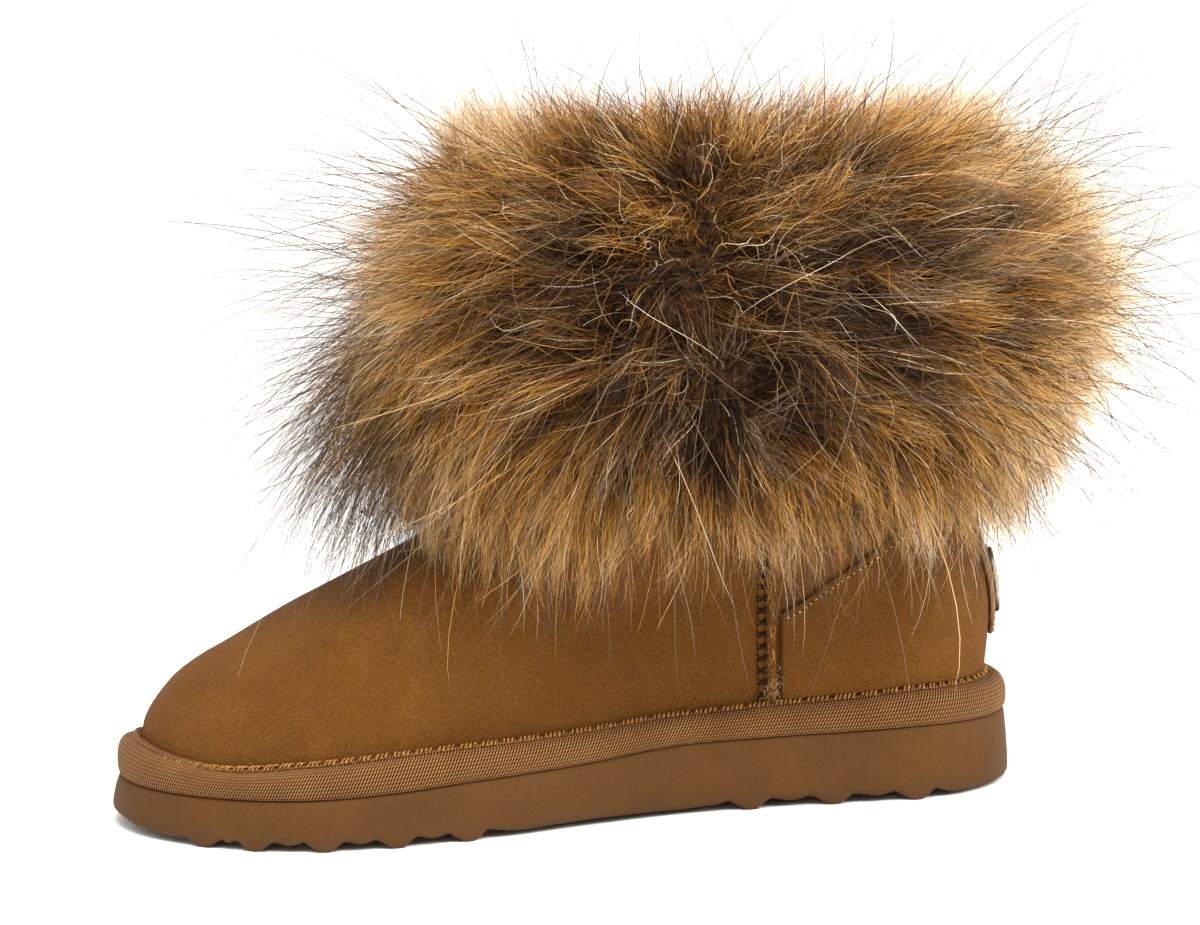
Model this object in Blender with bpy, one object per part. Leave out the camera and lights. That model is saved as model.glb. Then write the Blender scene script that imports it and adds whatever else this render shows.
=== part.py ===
"""Left ankle boot: hollow suede upper, fur cuff, padded welt, wedge sole with wave lugs."""
import math
import random

import bmesh
import bpy

for old in list(bpy.data.objects):
    bpy.data.objects.remove(old, do_unlink=True)

# Driving sizes in millimetres. s runs from the back of the heel to the toe, y is minus on the
# outer side of the left foot, z is up from the floor.
MM = 0.001
GAP = 0.3
SOLE_LENGTH = 262.0
BALL_WIDTH = 95.0
SOLE_HEIGHT = 21.0
LUG_DEPTH = 3.0
LUG_FLAT = 2.8
LUG_FLANK = 4.0
WELT_HEIGHT = 10.2
UPPER_WALL = 2.6
FOOT_BASE = 24.6
INSTEP_HEIGHT = 80.3
COLLAR_HEIGHT = 172.0
SHAFT_WIDTH = 86.0
INSOLE_THICK = 4.2
SEAM_STATION = 77.0
SEAM_WIDTH = 5.4
SEAM_RISE = 2.1
SEAM_TOP = 96.0
COUNTER_TOP = 90.0
OVERLAY = 1.15
LABEL_BASE = 36.5
LABEL_HEIGHT = 39.5
LABEL_WIDTH = 41.0
PLATE_BASE = 43.5
PLATE_HEIGHT = 21.0
PLATE_WIDTH = 14.0
CUFF_LOW = 86.0
CUFF_HIGH = 201.0
FUR_REAR = 50.0
FUR_FRONT = 34.0
FUR_SIDE = 37.0
LOCK_LENGTH = 20.0
# Insets from the sole's outline at the heel and at the toe.
UPPER_INSET = (8.0, 9.2)
WELT_INSET = (0.3, 2.3)
# Puts the whole boot's box centre over the origin.
SHIFT_X = -25.0
SHIFT_Y = 0.0
INSTEP_RISE = INSTEP_HEIGHT - FOOT_BASE
SHAFT_RISE = COLLAR_HEIGHT - INSTEP_HEIGHT


def sized(rows, *units):
    """A table of shares as lengths, one unit for each column."""
    return tuple(tuple(value * unit for value, unit in zip(row, units)) for row in rows)


# Rows: share of length, outer edge and inner edge as shares of the ball width.
OUTLINE = (
    (0.00, 0.385, 0.380),
    (0.15, 0.380, 0.378),
    (0.27, 0.352, 0.352),
    (0.38, 0.345, 0.345),
    (0.50, 0.395, 0.375),
    (0.61, 0.458, 0.440),
    (0.725, 0.487, 0.500),
    (0.82, 0.505, 0.515),
    (1.00, 0.450, 0.490),
)
HEEL_ARC = 0.39 * BALL_WIDTH
HEEL_POWER = 2.1
TOE_ARC = 0.905 * BALL_WIDTH
TOE_POWER = 2.15
TOE_TURN = 0.095 * BALL_WIDTH

# Rows: share of length, height of the sole's side, height of the welt on it.
SIDE = sized((
    (0.00, 0.971, 1.000),
    (0.12, 1.000, 0.980),
    (0.21, 0.971, 0.882),
    (0.29, 0.957, 0.833),
    (0.38, 0.938, 0.765),
    (0.52, 0.810, 0.824),
    (0.62, 0.767, 0.873),
    (0.70, 0.705, 0.931),
    (0.80, 0.657, 0.863),
    (0.89, 0.638, 0.706),
    (0.95, 0.633, 0.873),
    (1.00, 0.648, 1.118),
), SOLE_LENGTH, SOLE_HEIGHT, WELT_HEIGHT)

# Rows of the foot: share of the rise from the welt to the instep, rear and front share of length.
FOOT_ROWS = sized((
    (0.000, 0.0305, 0.9641),
    (0.097, 0.0290, 0.9599),
    (0.160, 0.0275, 0.9531),
    (0.244, 0.0260, 0.9401),
    (0.339, 0.0248, 0.9210),
    (0.426, 0.0244, 0.8924),
    (0.478, 0.0248, 0.8679),
    (0.553, 0.0263, 0.8351),
    (0.655, 0.0298, 0.7916),
    (0.801, 0.0374, 0.7252),
    (0.926, 0.0454, 0.6702),
    (1.000, 0.0500, 0.6427),
), INSTEP_RISE, SOLE_LENGTH, SOLE_LENGTH)
# Rows of the shaft: share of the rise from the instep to the collar, rear and front share of length.
SHAFT_ROWS = sized((
    (0.062, 0.0557, 0.6160),
    (0.160, 0.0630, 0.5916),
    (0.324, 0.0687, 0.5748),
    (0.597, 0.0679, 0.5649),
    (1.040, 0.0595, 0.5595),
), SHAFT_RISE, SOLE_LENGTH, SOLE_LENGTH)
PROFILE = tuple((FOOT_BASE + row[0], row[1], row[2]) for row in FOOT_ROWS)
PROFILE += tuple((INSTEP_HEIGHT + row[0], row[1], row[2]) for row in SHAFT_ROWS)
SECTION_POWER = 2.35
# Rows: share of the instep's rise, growth of the foot's half width above the welt.
GROWTH = ((0.0, 0.0), (0.15, 0.035), (0.37, 0.08), (0.64, 0.14), (1.0, 0.24), (1.44, 0.34))
# Levels of the upper's rings as shares of the two rises.
FOOT_LEVELS = (0.0, 0.07, 0.142, 0.214, 0.294, 0.375, 0.456, 0.537, 0.618, 0.707, 0.806, 0.914)
SHAFT_LEVELS = (0.019, 0.106, 0.237, 0.455, 0.738, 1.0)
LEVELS = tuple(FOOT_BASE + share * INSTEP_RISE for share in FOOT_LEVELS)
LEVELS += tuple(INSTEP_HEIGHT + share * SHAFT_RISE for share in SHAFT_LEVELS)
COLUMNS = 56

# Rows: share of the cuff's height, depth of the fur behind, before and beside the shaft.
CUFF_OUTER = sized((
    (0.000, 0.21, 0.16, 0.54),
    (0.070, 0.49, 0.48, 0.72),
    (0.174, 0.69, 0.74, 0.85),
    (0.296, 0.82, 0.90, 0.95),
    (0.426, 0.96, 1.00, 1.00),
    (0.548, 1.00, 0.97, 1.00),
    (0.661, 0.91, 0.84, 0.95),
    (0.774, 0.67, 0.63, 0.81),
    (0.870, 0.37, 0.39, 0.62),
    (0.939, 0.15, 0.22, 0.42),
), CUFF_HIGH - CUFF_LOW, FUR_REAR, FUR_FRONT, FUR_SIDE)
# Rows: share of the cuff's height, distance of the cuff's inside from the shaft.
CUFF_INNER = ((0.948, 5.0), (0.870, 1.8), (0.740, 1.15), (0.470, 1.15), (0.174, 1.15), (0.109, 3.4), (0.017, 8.0))
CUFF_COLUMNS = 40
FLOW_STATION = 0.38 * SOLE_LENGTH
FLOW_HEIGHT = CUFF_LOW + 0.435 * (CUFF_HIGH - CUFF_LOW)


def slopes(xs, ys):
    """Tangents of a curve that keeps between its rows."""
    n = len(xs)
    d = [(ys[i + 1] - ys[i]) / (xs[i + 1] - xs[i]) for i in range(n - 1)]
    m = [d[0]] + [0.0] * (n - 2) + [d[-1]]
    for i in range(1, n - 1):
        if d[i - 1] * d[i] > 0:
            m[i] = 2 * d[i - 1] * d[i] / (d[i - 1] + d[i])
    return m


def along(rows, x, col=1):
    """Smooth value of one column of a table at x, held at the ends."""
    xs = [r[0] for r in rows]
    ys = [r[col] for r in rows]
    if x <= xs[0]:
        return ys[0]
    if x >= xs[-1]:
        return ys[-1]
    m = slopes(xs, ys)
    i = max(k for k in range(len(xs) - 1) if xs[k] <= x)
    w = xs[i + 1] - xs[i]
    t = (x - xs[i]) / w
    a = ys[i] * (1 + 2 * t) * (1 - t) ** 2 + ys[i + 1] * t * t * (3 - 2 * t)
    return a + w * t * (1 - t) * (m[i] * (1 - t) - m[i + 1] * t)


def ease(lo, hi, x):
    """Soft step from 0 at lo to 1 at hi."""
    t = min(max((x - lo) / (hi - lo), 0.0), 1.0)
    return t * t * (3 - 2 * t)


def arc(x, length, power):
    """Rounding of an end: 0 at the end, 1 once past the arc."""
    t = min(max(1 - x / length, 0.0), 1.0)
    return max(1 - t ** power, 0.0) ** (1 / power)


def sole_edges(s):
    """Outer and inner edge of the sole's outline at station s."""
    u = s / SOLE_LENGTH
    outer = along(OUTLINE, u, 1) * BALL_WIDTH
    inner = along(OUTLINE, u, 2) * BALL_WIDTH
    close = arc(s, HEEL_ARC, HEEL_POWER) * arc(SOLE_LENGTH - s, TOE_ARC, TOE_POWER)
    turn = max(u - 0.725, 0.0) / 0.275
    mid = (inner - outer) / 2 * arc(s, HEEL_ARC, HEEL_POWER) + TOE_TURN * turn ** 1.5
    half = (inner + outer) / 2 * close
    return mid - half, mid + half


def closed_loop(edges, lo, hi, steps=150):
    """Points round a form from its back centre, outer side first."""
    side = [lo + (hi - lo) * (1 - math.cos(math.pi * k / steps)) / 2 for k in range(steps + 1)]
    outer = [(s, edges(s)[0]) for s in side]
    inner = [(s, edges(s)[1]) for s in side]
    return outer + inner[-2:0:-1]


def resample(loop, count):
    """The same loop with points at even distances, and the normals out of it."""
    pts = loop + [loop[0]]
    total = [0.0]
    for a, b in zip(pts, pts[1:]):
        total.append(total[-1] + math.hypot(b[0] - a[0], b[1] - a[1]))
    out = []
    j = 0
    for k in range(count):
        want = total[-1] * k / count
        while total[j + 1] < want:
            j += 1
        t = (want - total[j]) / (total[j + 1] - total[j])
        out.append((pts[j][0] + (pts[j + 1][0] - pts[j][0]) * t, pts[j][1] + (pts[j + 1][1] - pts[j][1]) * t))
    return out


def moved(loop, off):
    """The loop moved outwards by off, or by a pair of values from heel to toe."""
    n = len(loop)
    pair = off if isinstance(off, tuple) else (off, off)
    out = []
    for i in range(n):
        share = loop[i][0] / SOLE_LENGTH
        step = pair[0] * (1 - share) + pair[1] * share
        a = loop[i - 1]
        b = loop[(i + 1) % n]
        ds = b[0] - a[0]
        dy = b[1] - a[1]
        size = math.hypot(ds, dy)
        out.append((loop[i][0] + dy / size * step, loop[i][1] - ds / size * step))

    return out


def inwards(pair, extra=0.0):
    """A pair of insets as moves, extra millimetres further in."""
    return (-pair[0] - extra, -pair[1] - extra)


FINE = resample(closed_loop(sole_edges, 0.0, SOLE_LENGTH), 480)
FOOT = moved(FINE, inwards(UPPER_INSET))
TIP = max(range(480), key=lambda i: FOOT[i][0])
OUTER_SIDE = sorted(FOOT[:TIP + 1])
INNER_SIDE = sorted([FOOT[0]] + FOOT[TIP:])


def read(side, s):
    """The y of a sorted side at station s."""
    if s <= side[0][0]:
        return side[0][1]
    for a, b in zip(side, side[1:]):
        if s <= b[0]:
            return a[1] + (b[1] - a[1]) * (s - a[0]) / max(b[0] - a[0], 1e-9)
    return side[-1][1]


RIDGE = tuple((r[2], r[0]) for r in reversed(PROFILE))


def side_top(s):
    """Top of the sole's side."""
    return along(SIDE, s, 1)


def welt_top(s):
    """Top of the welt."""
    return along(SIDE, s, 1) + along(SIDE, s, 2)


def ridge(s):
    """Height of the upper's middle line at station s."""
    if s < RIDGE[0][0]:
        return RIDGE[0][1] + (RIDGE[0][0] - s) * 8
    return along(RIDGE, s)


def upper_edges(s, z):
    """Outer and inner side of the upper at station s and level z."""
    rear = along(PROFILE, z, 1)
    front = along(PROFILE, z, 2)
    u = s / SOLE_LENGTH
    s0 = s - (rear - FOOT[0][0]) * (1 - ease(0.08, 0.42, u))
    a = read(OUTER_SIDE, s0)
    b = read(INNER_SIDE, s0)
    low = PROFILE[0][0]
    t = min(max((z - low) / max(ridge(s) - low, 1e-6), 0.0), 1.0)
    dome = max(1 - t ** SECTION_POWER, 0.0) ** (1 / SECTION_POWER)
    rise = (z - FOOT_BASE) / INSTEP_RISE
    grow = 1 + along(GROWTH, rise) * (1 - 0.65 * ease(0.46, 0.706, u))
    foot_half = (b - a) / 2 * grow * dome
    foot_mid = (a + b) / 2 + 0.026 * BALL_WIDTH * ease(0.42, 0.687, u) * t
    mid_s = (rear + front) / 2
    r = min(abs(s - mid_s) / ((front - rear) / 2), 1.0)
    widen = 0.94 + 0.06 * ease(0.16, 0.76, (z - INSTEP_HEIGHT) / SHAFT_RISE)
    shaft_half = SHAFT_WIDTH / 2 * widen * max(1 - r ** 2.2, 0.0) ** (1 / 2.2)
    k = ease(0.60, 1.0 + 0.28 * SHAFT_RISE / INSTEP_RISE, rise)
    half = foot_half * (1 - k) + shaft_half * k
    mid = foot_mid * (1 - k)
    return mid - half, mid + half


def upper_loop(z, count, off=0.0):
    """Level loop of the upper's outside."""
    if z <= PROFILE[0][0]:
        loop = resample(FOOT, count)
    else:
        rear = along(PROFILE, z, 1)
        front = along(PROFILE, z, 2)
        loop = resample(closed_loop(lambda s: upper_edges(s, z), rear, front), count)
    return moved(loop, off) if off else loop


def true_height(s, level):
    """Level moved so that the lowest one follows the top of the welt."""
    fall = min(max((level - FOOT_BASE) / (0.81 * INSTEP_RISE), 0.0), 1.0)
    return level + (welt_top(s) + 2 * GAP - FOOT_BASE) * (1 - fall)


def point(s, y, z):
    """Millimetres in the boot to the object's frame in metres."""
    return ((SOLE_LENGTH / 2 - s + SHIFT_X) * MM, (y + SHIFT_Y) * MM, z * MM)


def material(name, colour, rough, metal=0.0):
    mat = bpy.data.materials.new(name)
    mat.use_nodes = True
    shader = mat.node_tree.nodes["Principled BSDF"]
    shader.inputs["Base Color"].default_value = (*colour, 1.0)
    shader.inputs["Roughness"].default_value = rough
    shader.inputs["Metallic"].default_value = metal
    return mat


def add(name, verts, faces, mat, smooth=True):
    """Mesh object from points in metres; faces are turned outwards."""
    mesh = bpy.data.meshes.new(name)
    mesh.from_pydata(verts, [], faces)
    bm = bmesh.new()
    bm.from_mesh(mesh)
    bmesh.ops.recalc_face_normals(bm, faces=bm.faces)
    bm.to_mesh(mesh)
    bm.free()
    mesh.polygons.foreach_set("use_smooth", [smooth] * len(mesh.polygons))
    obj = bpy.data.objects.new(name, mesh)
    bpy.context.scene.collection.objects.link(obj)
    mesh.materials.append(mat)
    return obj


def bands(rings, wrap=False):
    """Quads between rings of equal count; wrap joins the last ring to the first."""
    n = len(rings[0])
    verts = [p for ring in rings for p in ring]
    faces = []
    for k in range(len(rings) - (0 if wrap else 1)):
        a = k * n
        b = (k + 1) % len(rings) * n
        for i in range(n):
            j = (i + 1) % n
            faces.append((a + i, a + j, b + j, b + i))
    return verts, faces


def strips(first, n):
    """Cap of a ring that starts at the back centre: strips from side to side."""
    faces = [(first, first + 1, first + n - 1)]
    for i in range(1, n // 2 - 1):
        faces.append((first + i, first + i + 1, first + n - i - 1, first + n - i))
    h = n // 2
    faces.append((first + h - 1, first + h, first + h + 1))
    return faces


suede = material("suede", (0.33, 0.15, 0.05), 0.9)
rubber = material("sole_rubber", (0.22, 0.10, 0.035), 0.7)
tape = material("welt_tape", (0.42, 0.20, 0.08), 0.85)
pile = material("insole_pile", (0.50, 0.32, 0.16), 0.95)
hide = material("label_leather", (0.30, 0.13, 0.05), 0.6)
fur = material("fur", (0.28, 0.15, 0.06), 0.95)
steel = material("plate_steel", (0.45, 0.42, 0.38), 0.3, 1.0)

# Outsole: a wedge inside the outline, its underside cut to the wave of lugs.
RING = 72
# Rows: share of the side's height, share of the way in to the welt's outside.
WALL = ((0.0, 0.0), (0.25, 0.02), (0.60, 0.35), (0.92, 0.95), (1.0, 1.25))
rings = []
for share, way_in in WALL:
    loop = resample(moved(FINE, inwards((way_in * 0.9, way_in * 2.3))), RING)
    rings.append([point(s, y, -1.0 + (side_top(s) + 1.0) * share) for s, y in loop])
verts, faces = bands(rings)
faces += strips(0, RING) + strips(RING * (len(WALL) - 1), RING)
outsole = add("outsole", verts, faces, rubber, smooth=False)

# Rows: station of a large lug, station of the small lug in front of it, as shares of length.
HEEL_LUGS = ((0.1374, 0.1832), (0.2290, 0.2748), (0.3206, 0.3645))
FORE_LUGS = ((0.6336, 0.6718), (0.7099, 0.7481), (0.7863, 0.8225), (0.8588, 0.8855), (0.9103, None))
# Rows of the land behind the lugs, under the arch and at the toe: share of length, of lug depth.
HEEL_LAND = ((-0.05, 0.43), (0.099, 0.43))
ARCH_LAND = ((0.397, 0.53), (0.489, 0.67), (0.580, 0.53), (0.592, 0.63))
TOE_LAND = ((0.924, 0.63), (0.954, 0.67), (0.977, 0.93), (1.0, 1.53), (1.05, 1.67))


def lug_wave(rows):
    """Underside of a row of lugs: valley, large flat, valley, small flat."""
    wave = []
    for large, small in rows:
        here = large * SOLE_LENGTH
        wave += [(here - LUG_FLANK - LUG_FLAT / 2, LUG_DEPTH), (here - LUG_FLAT / 2, 0.0), (here + LUG_FLAT / 2, 0.0)]
        if small:
            after = small * SOLE_LENGTH
            wave += [((here + after) / 2 + 0.2 * LUG_FLANK, LUG_DEPTH)]
            wave += [(after - LUG_FLAT / 3, LUG_DEPTH * 0.67), (after + LUG_FLAT / 3, LUG_DEPTH * 0.67)]
    return wave


land = (SOLE_LENGTH, LUG_DEPTH)
wave = list(sized(HEEL_LAND, *land)) + lug_wave(HEEL_LUGS) + list(sized(ARCH_LAND, *land))
wave += lug_wave(FORE_LUGS) + list(sized(TOE_LAND, *land))
outline = wave + [(wave[-1][0], -3 * LUG_DEPTH), (wave[0][0], -3 * LUG_DEPTH)]
count = len(outline)
verts = [point(s, -BALL_WIDTH, z) for s, z in outline] + [point(s, BALL_WIDTH, z) for s, z in outline]
faces = [tuple(range(count)), tuple(range(2 * count - 1, count - 1, -1))]
faces += [(i, count + i, count + (i + 1) % count, (i + 1) % count) for i in range(count)]
cutter = add("lug_cutter", verts, faces, rubber, smooth=False)
cutter.hide_render = True
cutter.display_type = "WIRE"
cut = outsole.modifiers.new("lugs", "BOOLEAN")
cut.operation = "DIFFERENCE"
cut.solver = "EXACT"
cut.object = cutter

# Welt: padded roll in tape on the sole's rim, round the foot of the upper.
# Rows: share of the way from the welt's outside to the upper, share of the welt's height.
ROLL = ((0.10, 0.0), (0.0, 0.20), (0.01, 0.50), (0.17, 0.80), (0.42, 0.97), (0.74, 1.0), (1.0, 0.90), (1.0, 0.0))
WELT_DEPTH = (UPPER_INSET[0] - 0.65 - WELT_INSET[0], UPPER_INSET[1] - 0.65 - WELT_INSET[1])
rings = []
for depth, share in ROLL:
    ring = []
    inset = (WELT_INSET[0] + WELT_DEPTH[0] * depth, WELT_INSET[1] + WELT_DEPTH[1] * depth)
    for s, y in resample(moved(FINE, inwards(inset)), RING):
        low = side_top(s) + GAP
        ring.append(point(s, y, low + (welt_top(s) - low) * share))
    rings.append(ring)
verts, faces = bands(rings, wrap=True)
add("welt", verts, faces, tape)

# Upper: one wall from the sole to the collar, open at both.
rings = []
foot = resample(FOOT, COLUMNS)
rings.append([(s, y, side_top(s) + GAP) for s, y in foot])
for level in LEVELS:
    rings.append([(s, y, true_height(s, level)) for s, y in upper_loop(level, COLUMNS)])


def inside(grid, thick):
    """Grid moved inwards by the wall, square to the surface."""
    rows = len(grid)
    n = len(grid[0])
    out = []
    for k in range(rows):
        row = []
        for i in range(n):
            a = grid[k][(i + 1) % n]
            b = grid[k][i - 1]
            c = grid[min(k + 1, rows - 1)][i]
            d = grid[max(k - 1, 0)][i]
            u = [a[j] - b[j] for j in range(3)]
            v = [c[j] - d[j] for j in range(3)]
            if k < 2:
                v = [0.0, 0.0, 1.0]
            nx = u[1] * v[2] - u[2] * v[1]
            ny = u[2] * v[0] - u[0] * v[2]
            nz = u[0] * v[1] - u[1] * v[0]
            size = math.sqrt(nx * nx + ny * ny + nz * nz)
            p = grid[k][i]
            row.append((p[0] - nx / size * thick, p[1] - ny / size * thick, p[2] - nz / size * thick))
        out.append(row)
    last = [(p[0], p[1], grid[-1][i][2]) for i, p in enumerate(out[-1])]
    out[-1] = last
    return out


lining = inside(rings, UPPER_WALL)
lining[0] = [(p[0], p[1], rings[0][i][2]) for i, p in enumerate(lining[0])]
whole = rings + lining[::-1]
verts, faces = bands([[point(*p) for p in ring] for ring in whole], wrap=True)
add("upper", verts, faces, suede)

# Insole: loose bed inside the foot of the upper.
bed = UPPER_WALL + 0.5
# Rows: inset beyond the bed's edge, share of its thickness.
BED = ((0.8, 0.0), (0.0, 0.25), (0.0, 0.75), (1.4, 1.0))
rings_in = []
for extra, share in BED:
    ring = []
    for s, y in resample(moved(FINE, inwards(UPPER_INSET, bed + extra)), 60):
        ring.append(point(s, y, side_top(s) + GAP + INSOLE_THICK * share))
    rings_in.append(ring)
verts, faces = bands(rings_in)
faces += strips(0, 60) + strips(60 * (len(BED) - 1), 60)
add("insole", verts, faces, pile)


def wall_point(level, reach, off):
    """Point off the upper's outside, reach millimetres round from the back centre."""
    loop = moved(upper_loop(level, 360), off)
    base = upper_loop(level, 360)
    step = sum(math.dist(base[i], base[i - 1]) for i in range(360)) / 360
    k = -reach / step
    i = math.floor(k)
    t = k - i
    a = loop[i % 360]
    b = loop[(i + 1) % 360]
    s = a[0] + (b[0] - a[0]) * t
    return s, a[1] + (b[1] - a[1]) * t, true_height(base[i % 360][0] * (1 - t) + base[(i + 1) % 360][0] * t, level)


def station_reach(level, station, side):
    """How far round the wall a station lies; side is -1 outside, 1 inside."""
    base = upper_loop(level, 360)
    step = sum(math.dist(base[i], base[i - 1]) for i in range(360)) / 360
    last = base[0][0]
    for i in range(1, 180):
        here = base[i if side < 0 else -i][0]
        if here >= station:
            return side * step * (i - (here - station) / (here - last))
        last = here
    return 0.0


def patch(name, grid, near, far, mat):
    """Overlay on the upper: grid of (level, reach) points between two offsets."""
    rows = len(grid)
    n = len(grid[0])
    verts = []
    for off in (near, far):
        for row in grid:
            for level, reach in row:
                verts.append(point(*wall_point(level, reach, off)))
    size = rows * n
    faces = []
    for r in range(rows - 1):
        for i in range(n - 1):
            q = (r * n + i, r * n + i + 1, (r + 1) * n + i + 1, (r + 1) * n + i)
            faces.append(tuple(reversed(q)))
            faces.append(tuple(v + size for v in q))
    rim = [i for i in range(n)] + [r * n + n - 1 for r in range(1, rows)]
    rim += [(rows - 1) * n + i for i in range(n - 2, -1, -1)] + [r * n for r in range(rows - 2, 0, -1)]
    for a, b in zip(rim, rim[1:] + rim[:1]):
        faces.append((a, b, b + size, a + size))
    return add(name, verts, faces, mat)


# Heel counter: overlay from seam to seam, its top edge rising to the back.
# Rows: share of the way from the side seam to the back centre, share of the counter's rise.
COUNTER = ((0.0, 0.442), (0.06, 0.480), (0.11, 0.534), (0.17, 0.595), (0.30, 0.717), (0.45, 0.832),
           (0.70, 0.954), (1.0, 1.0))
COUNTER_BASE = FOOT_BASE + GAP
HALF = 14
grid = []
for r in range(9):
    row = []
    for i in range(2 * HALF + 1):
        side = -1 if i < HALF else 1
        share = 1 - abs(i - HALF) / HALF
        level = COUNTER_BASE + (COUNTER_TOP - COUNTER_BASE) * along(COUNTER, share) * r / 8
        edge = station_reach(level, SEAM_STATION - SEAM_WIDTH / 2 - 1.3, side)
        row.append((level, edge * (1 - share)))
    grid.append(row)
patch("heel_counter", grid, 1.5 * GAP, 1.5 * GAP + OVERLAY, suede)

# Side seams: a raised roll at the side, from the welt into the fur.
for name, side in (("outer_seam", -1), ("inner_seam", 1)):
    verts = []
    count = 8
    spine = [COUNTER_BASE + (SEAM_TOP - COUNTER_BASE) * k / 10 for k in range(11)]
    for level in spine:
        mid = station_reach(level, SEAM_STATION, side)
        for k in range(count):
            turn = 2 * math.pi * k / count
            across = SEAM_WIDTH / 2 * math.cos(turn)
            up = GAP + SEAM_RISE / 2 * (1 + math.sin(turn))
            verts.append(point(*wall_point(level, mid + across, up)))
    faces = []
    for r in range(len(spine) - 1):
        for k in range(count):
            a = r * count + k
            b = r * count + (k + 1) % count
            faces.append((a, b, b + count, a + count))
    faces.append(tuple(range(count)))
    faces.append(tuple(range(len(verts) - count, len(verts))))
    add(name, verts, faces, suede)

# Heel label: shield of leather on the counter with a plain metal plate.
# Rows: share of the label's height, share of its half width.
LABEL = ((0.0, 0.41), (0.05, 0.58), (0.19, 0.68), (0.39, 0.78), (0.62, 0.88), (0.82, 0.95), (1.0, 1.0))
PLATE = ((0.0, 0.79), (0.07, 1.0), (0.5, 1.0), (0.93, 1.0), (1.0, 0.79))


def shield(rows, base, height, width, count):
    """Grid of a label: rows upwards, points from side to side."""
    return [[(base + up * height, half * width / 2 * (1 - 2 * k / count)) for k in range(count + 1)]
            for up, half in rows]


low = 1.5 * GAP + OVERLAY + 0.4
patch("heel_label", shield(LABEL, LABEL_BASE, LABEL_HEIGHT, LABEL_WIDTH, 8), low, low + OVERLAY + 0.15, hide)
low += OVERLAY + 0.5
patch("heel_plate", shield(PLATE, PLATE_BASE, PLATE_HEIGHT, PLATE_WIDTH, 4), low, low + OVERLAY + 0.3, steel)

# Fur cuff: thick ring round the shaft; locks are drawn out of its outside along the lie of the hair.
random.seed(7)


def cuff_ends(row):
    """Rear and front station of the cuff's body at one row of its table."""
    level = min(CUFF_LOW + row[0], COLLAR_HEIGHT)
    return along(PROFILE, level, 1) - row[1], along(PROFILE, level, 2) + row[2]


def cuff_edges(s, row):
    """Outline of the cuff's body at one row of its table."""
    rear, front = cuff_ends(row)
    mid = (rear + front) / 2
    r = min(abs(s - mid) / ((front - rear) / 2), 1.0)
    half = (SHAFT_WIDTH / 2 + row[3]) * max(1 - r ** 2.25, 0.0) ** (1 / 2.25)
    return -half, half


rings = []
for row in CUFF_OUTER:
    loop = resample(closed_loop(lambda s: cuff_edges(s, row), *cuff_ends(row)), CUFF_COLUMNS)
    toss = 3.0 * ease(0.73, 0.92, row[0] / (CUFF_HIGH - CUFF_LOW))
    rings.append([(s, y, CUFF_LOW + row[0] + toss * math.sin(2.3 * i)) for i, (s, y) in enumerate(loop)])
crest = []
inner = []
for share, off in CUFF_INNER:
    level = CUFF_LOW + share * (CUFF_HIGH - CUFF_LOW)
    inner.append([(s, y, level) for s, y in upper_loop(min(level, COLLAR_HEIGHT), CUFF_COLUMNS, off)])
for i in range(CUFF_COLUMNS):
    a = rings[-1][i]
    b = inner[0][i]
    crest.append(((a[0] + b[0]) / 2, (a[1] + b[1]) / 2, CUFF_HIGH + 2.0 * math.sin(2.3 * i)))
whole = rings + [crest] + inner
verts, faces = bands([[point(*p) for p in ring] for ring in whole], wrap=True)
cuff = add("fur_cuff", verts, faces, fur)
bm = bmesh.new()
bm.from_mesh(cuff.data)
bm.faces.ensure_lookup_table()
picked = []
for r in range(len(rings)):
    for i in range(CUFF_COLUMNS):
        if (i + 2 * r) % 3 == 0:
            picked.append((r, i))
table = [bm.faces[r * CUFF_COLUMNS + i] for r, i in picked]
for (r, i), face in zip(picked, table):
    mid = face.calc_center_median()
    out = face.normal.copy()
    s = SOLE_LENGTH / 2 - (mid.x / MM - SHIFT_X)
    z = mid.z / MM
    lean = ((FLOW_STATION - s), 0.0, (z - FLOW_HEIGHT) * 1.2)
    size = math.hypot(lean[0], lean[2]) + 25.0
    reach = LOCK_LENGTH * random.uniform(0.75, 1.2) * MM
    way = [out[0] * 0.55 + lean[0] / size * 0.68, out[1] * 0.55, out[2] * 0.55 + lean[2] / size * 0.68]
    top = face
    for scale, go in ((0.72, 0.45), (0.14, 0.55)):
        made = bmesh.ops.extrude_discrete_faces(bm, faces=[top])["faces"][0]
        centre = made.calc_center_median()
        for v in made.verts:
            for j in range(3):
                v.co[j] = centre[j] + (v.co[j] - centre[j]) * scale + way[j] * reach * go
        top = made
bmesh.ops.recalc_face_normals(bm, faces=bm.faces)
for f in bm.faces:
    f.smooth = True
bm.to_mesh(cuff.data)
bm.free()
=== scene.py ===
import math

import bmesh
import bpy
import numpy as np
from mathutils import Matrix, Vector, noise


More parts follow.
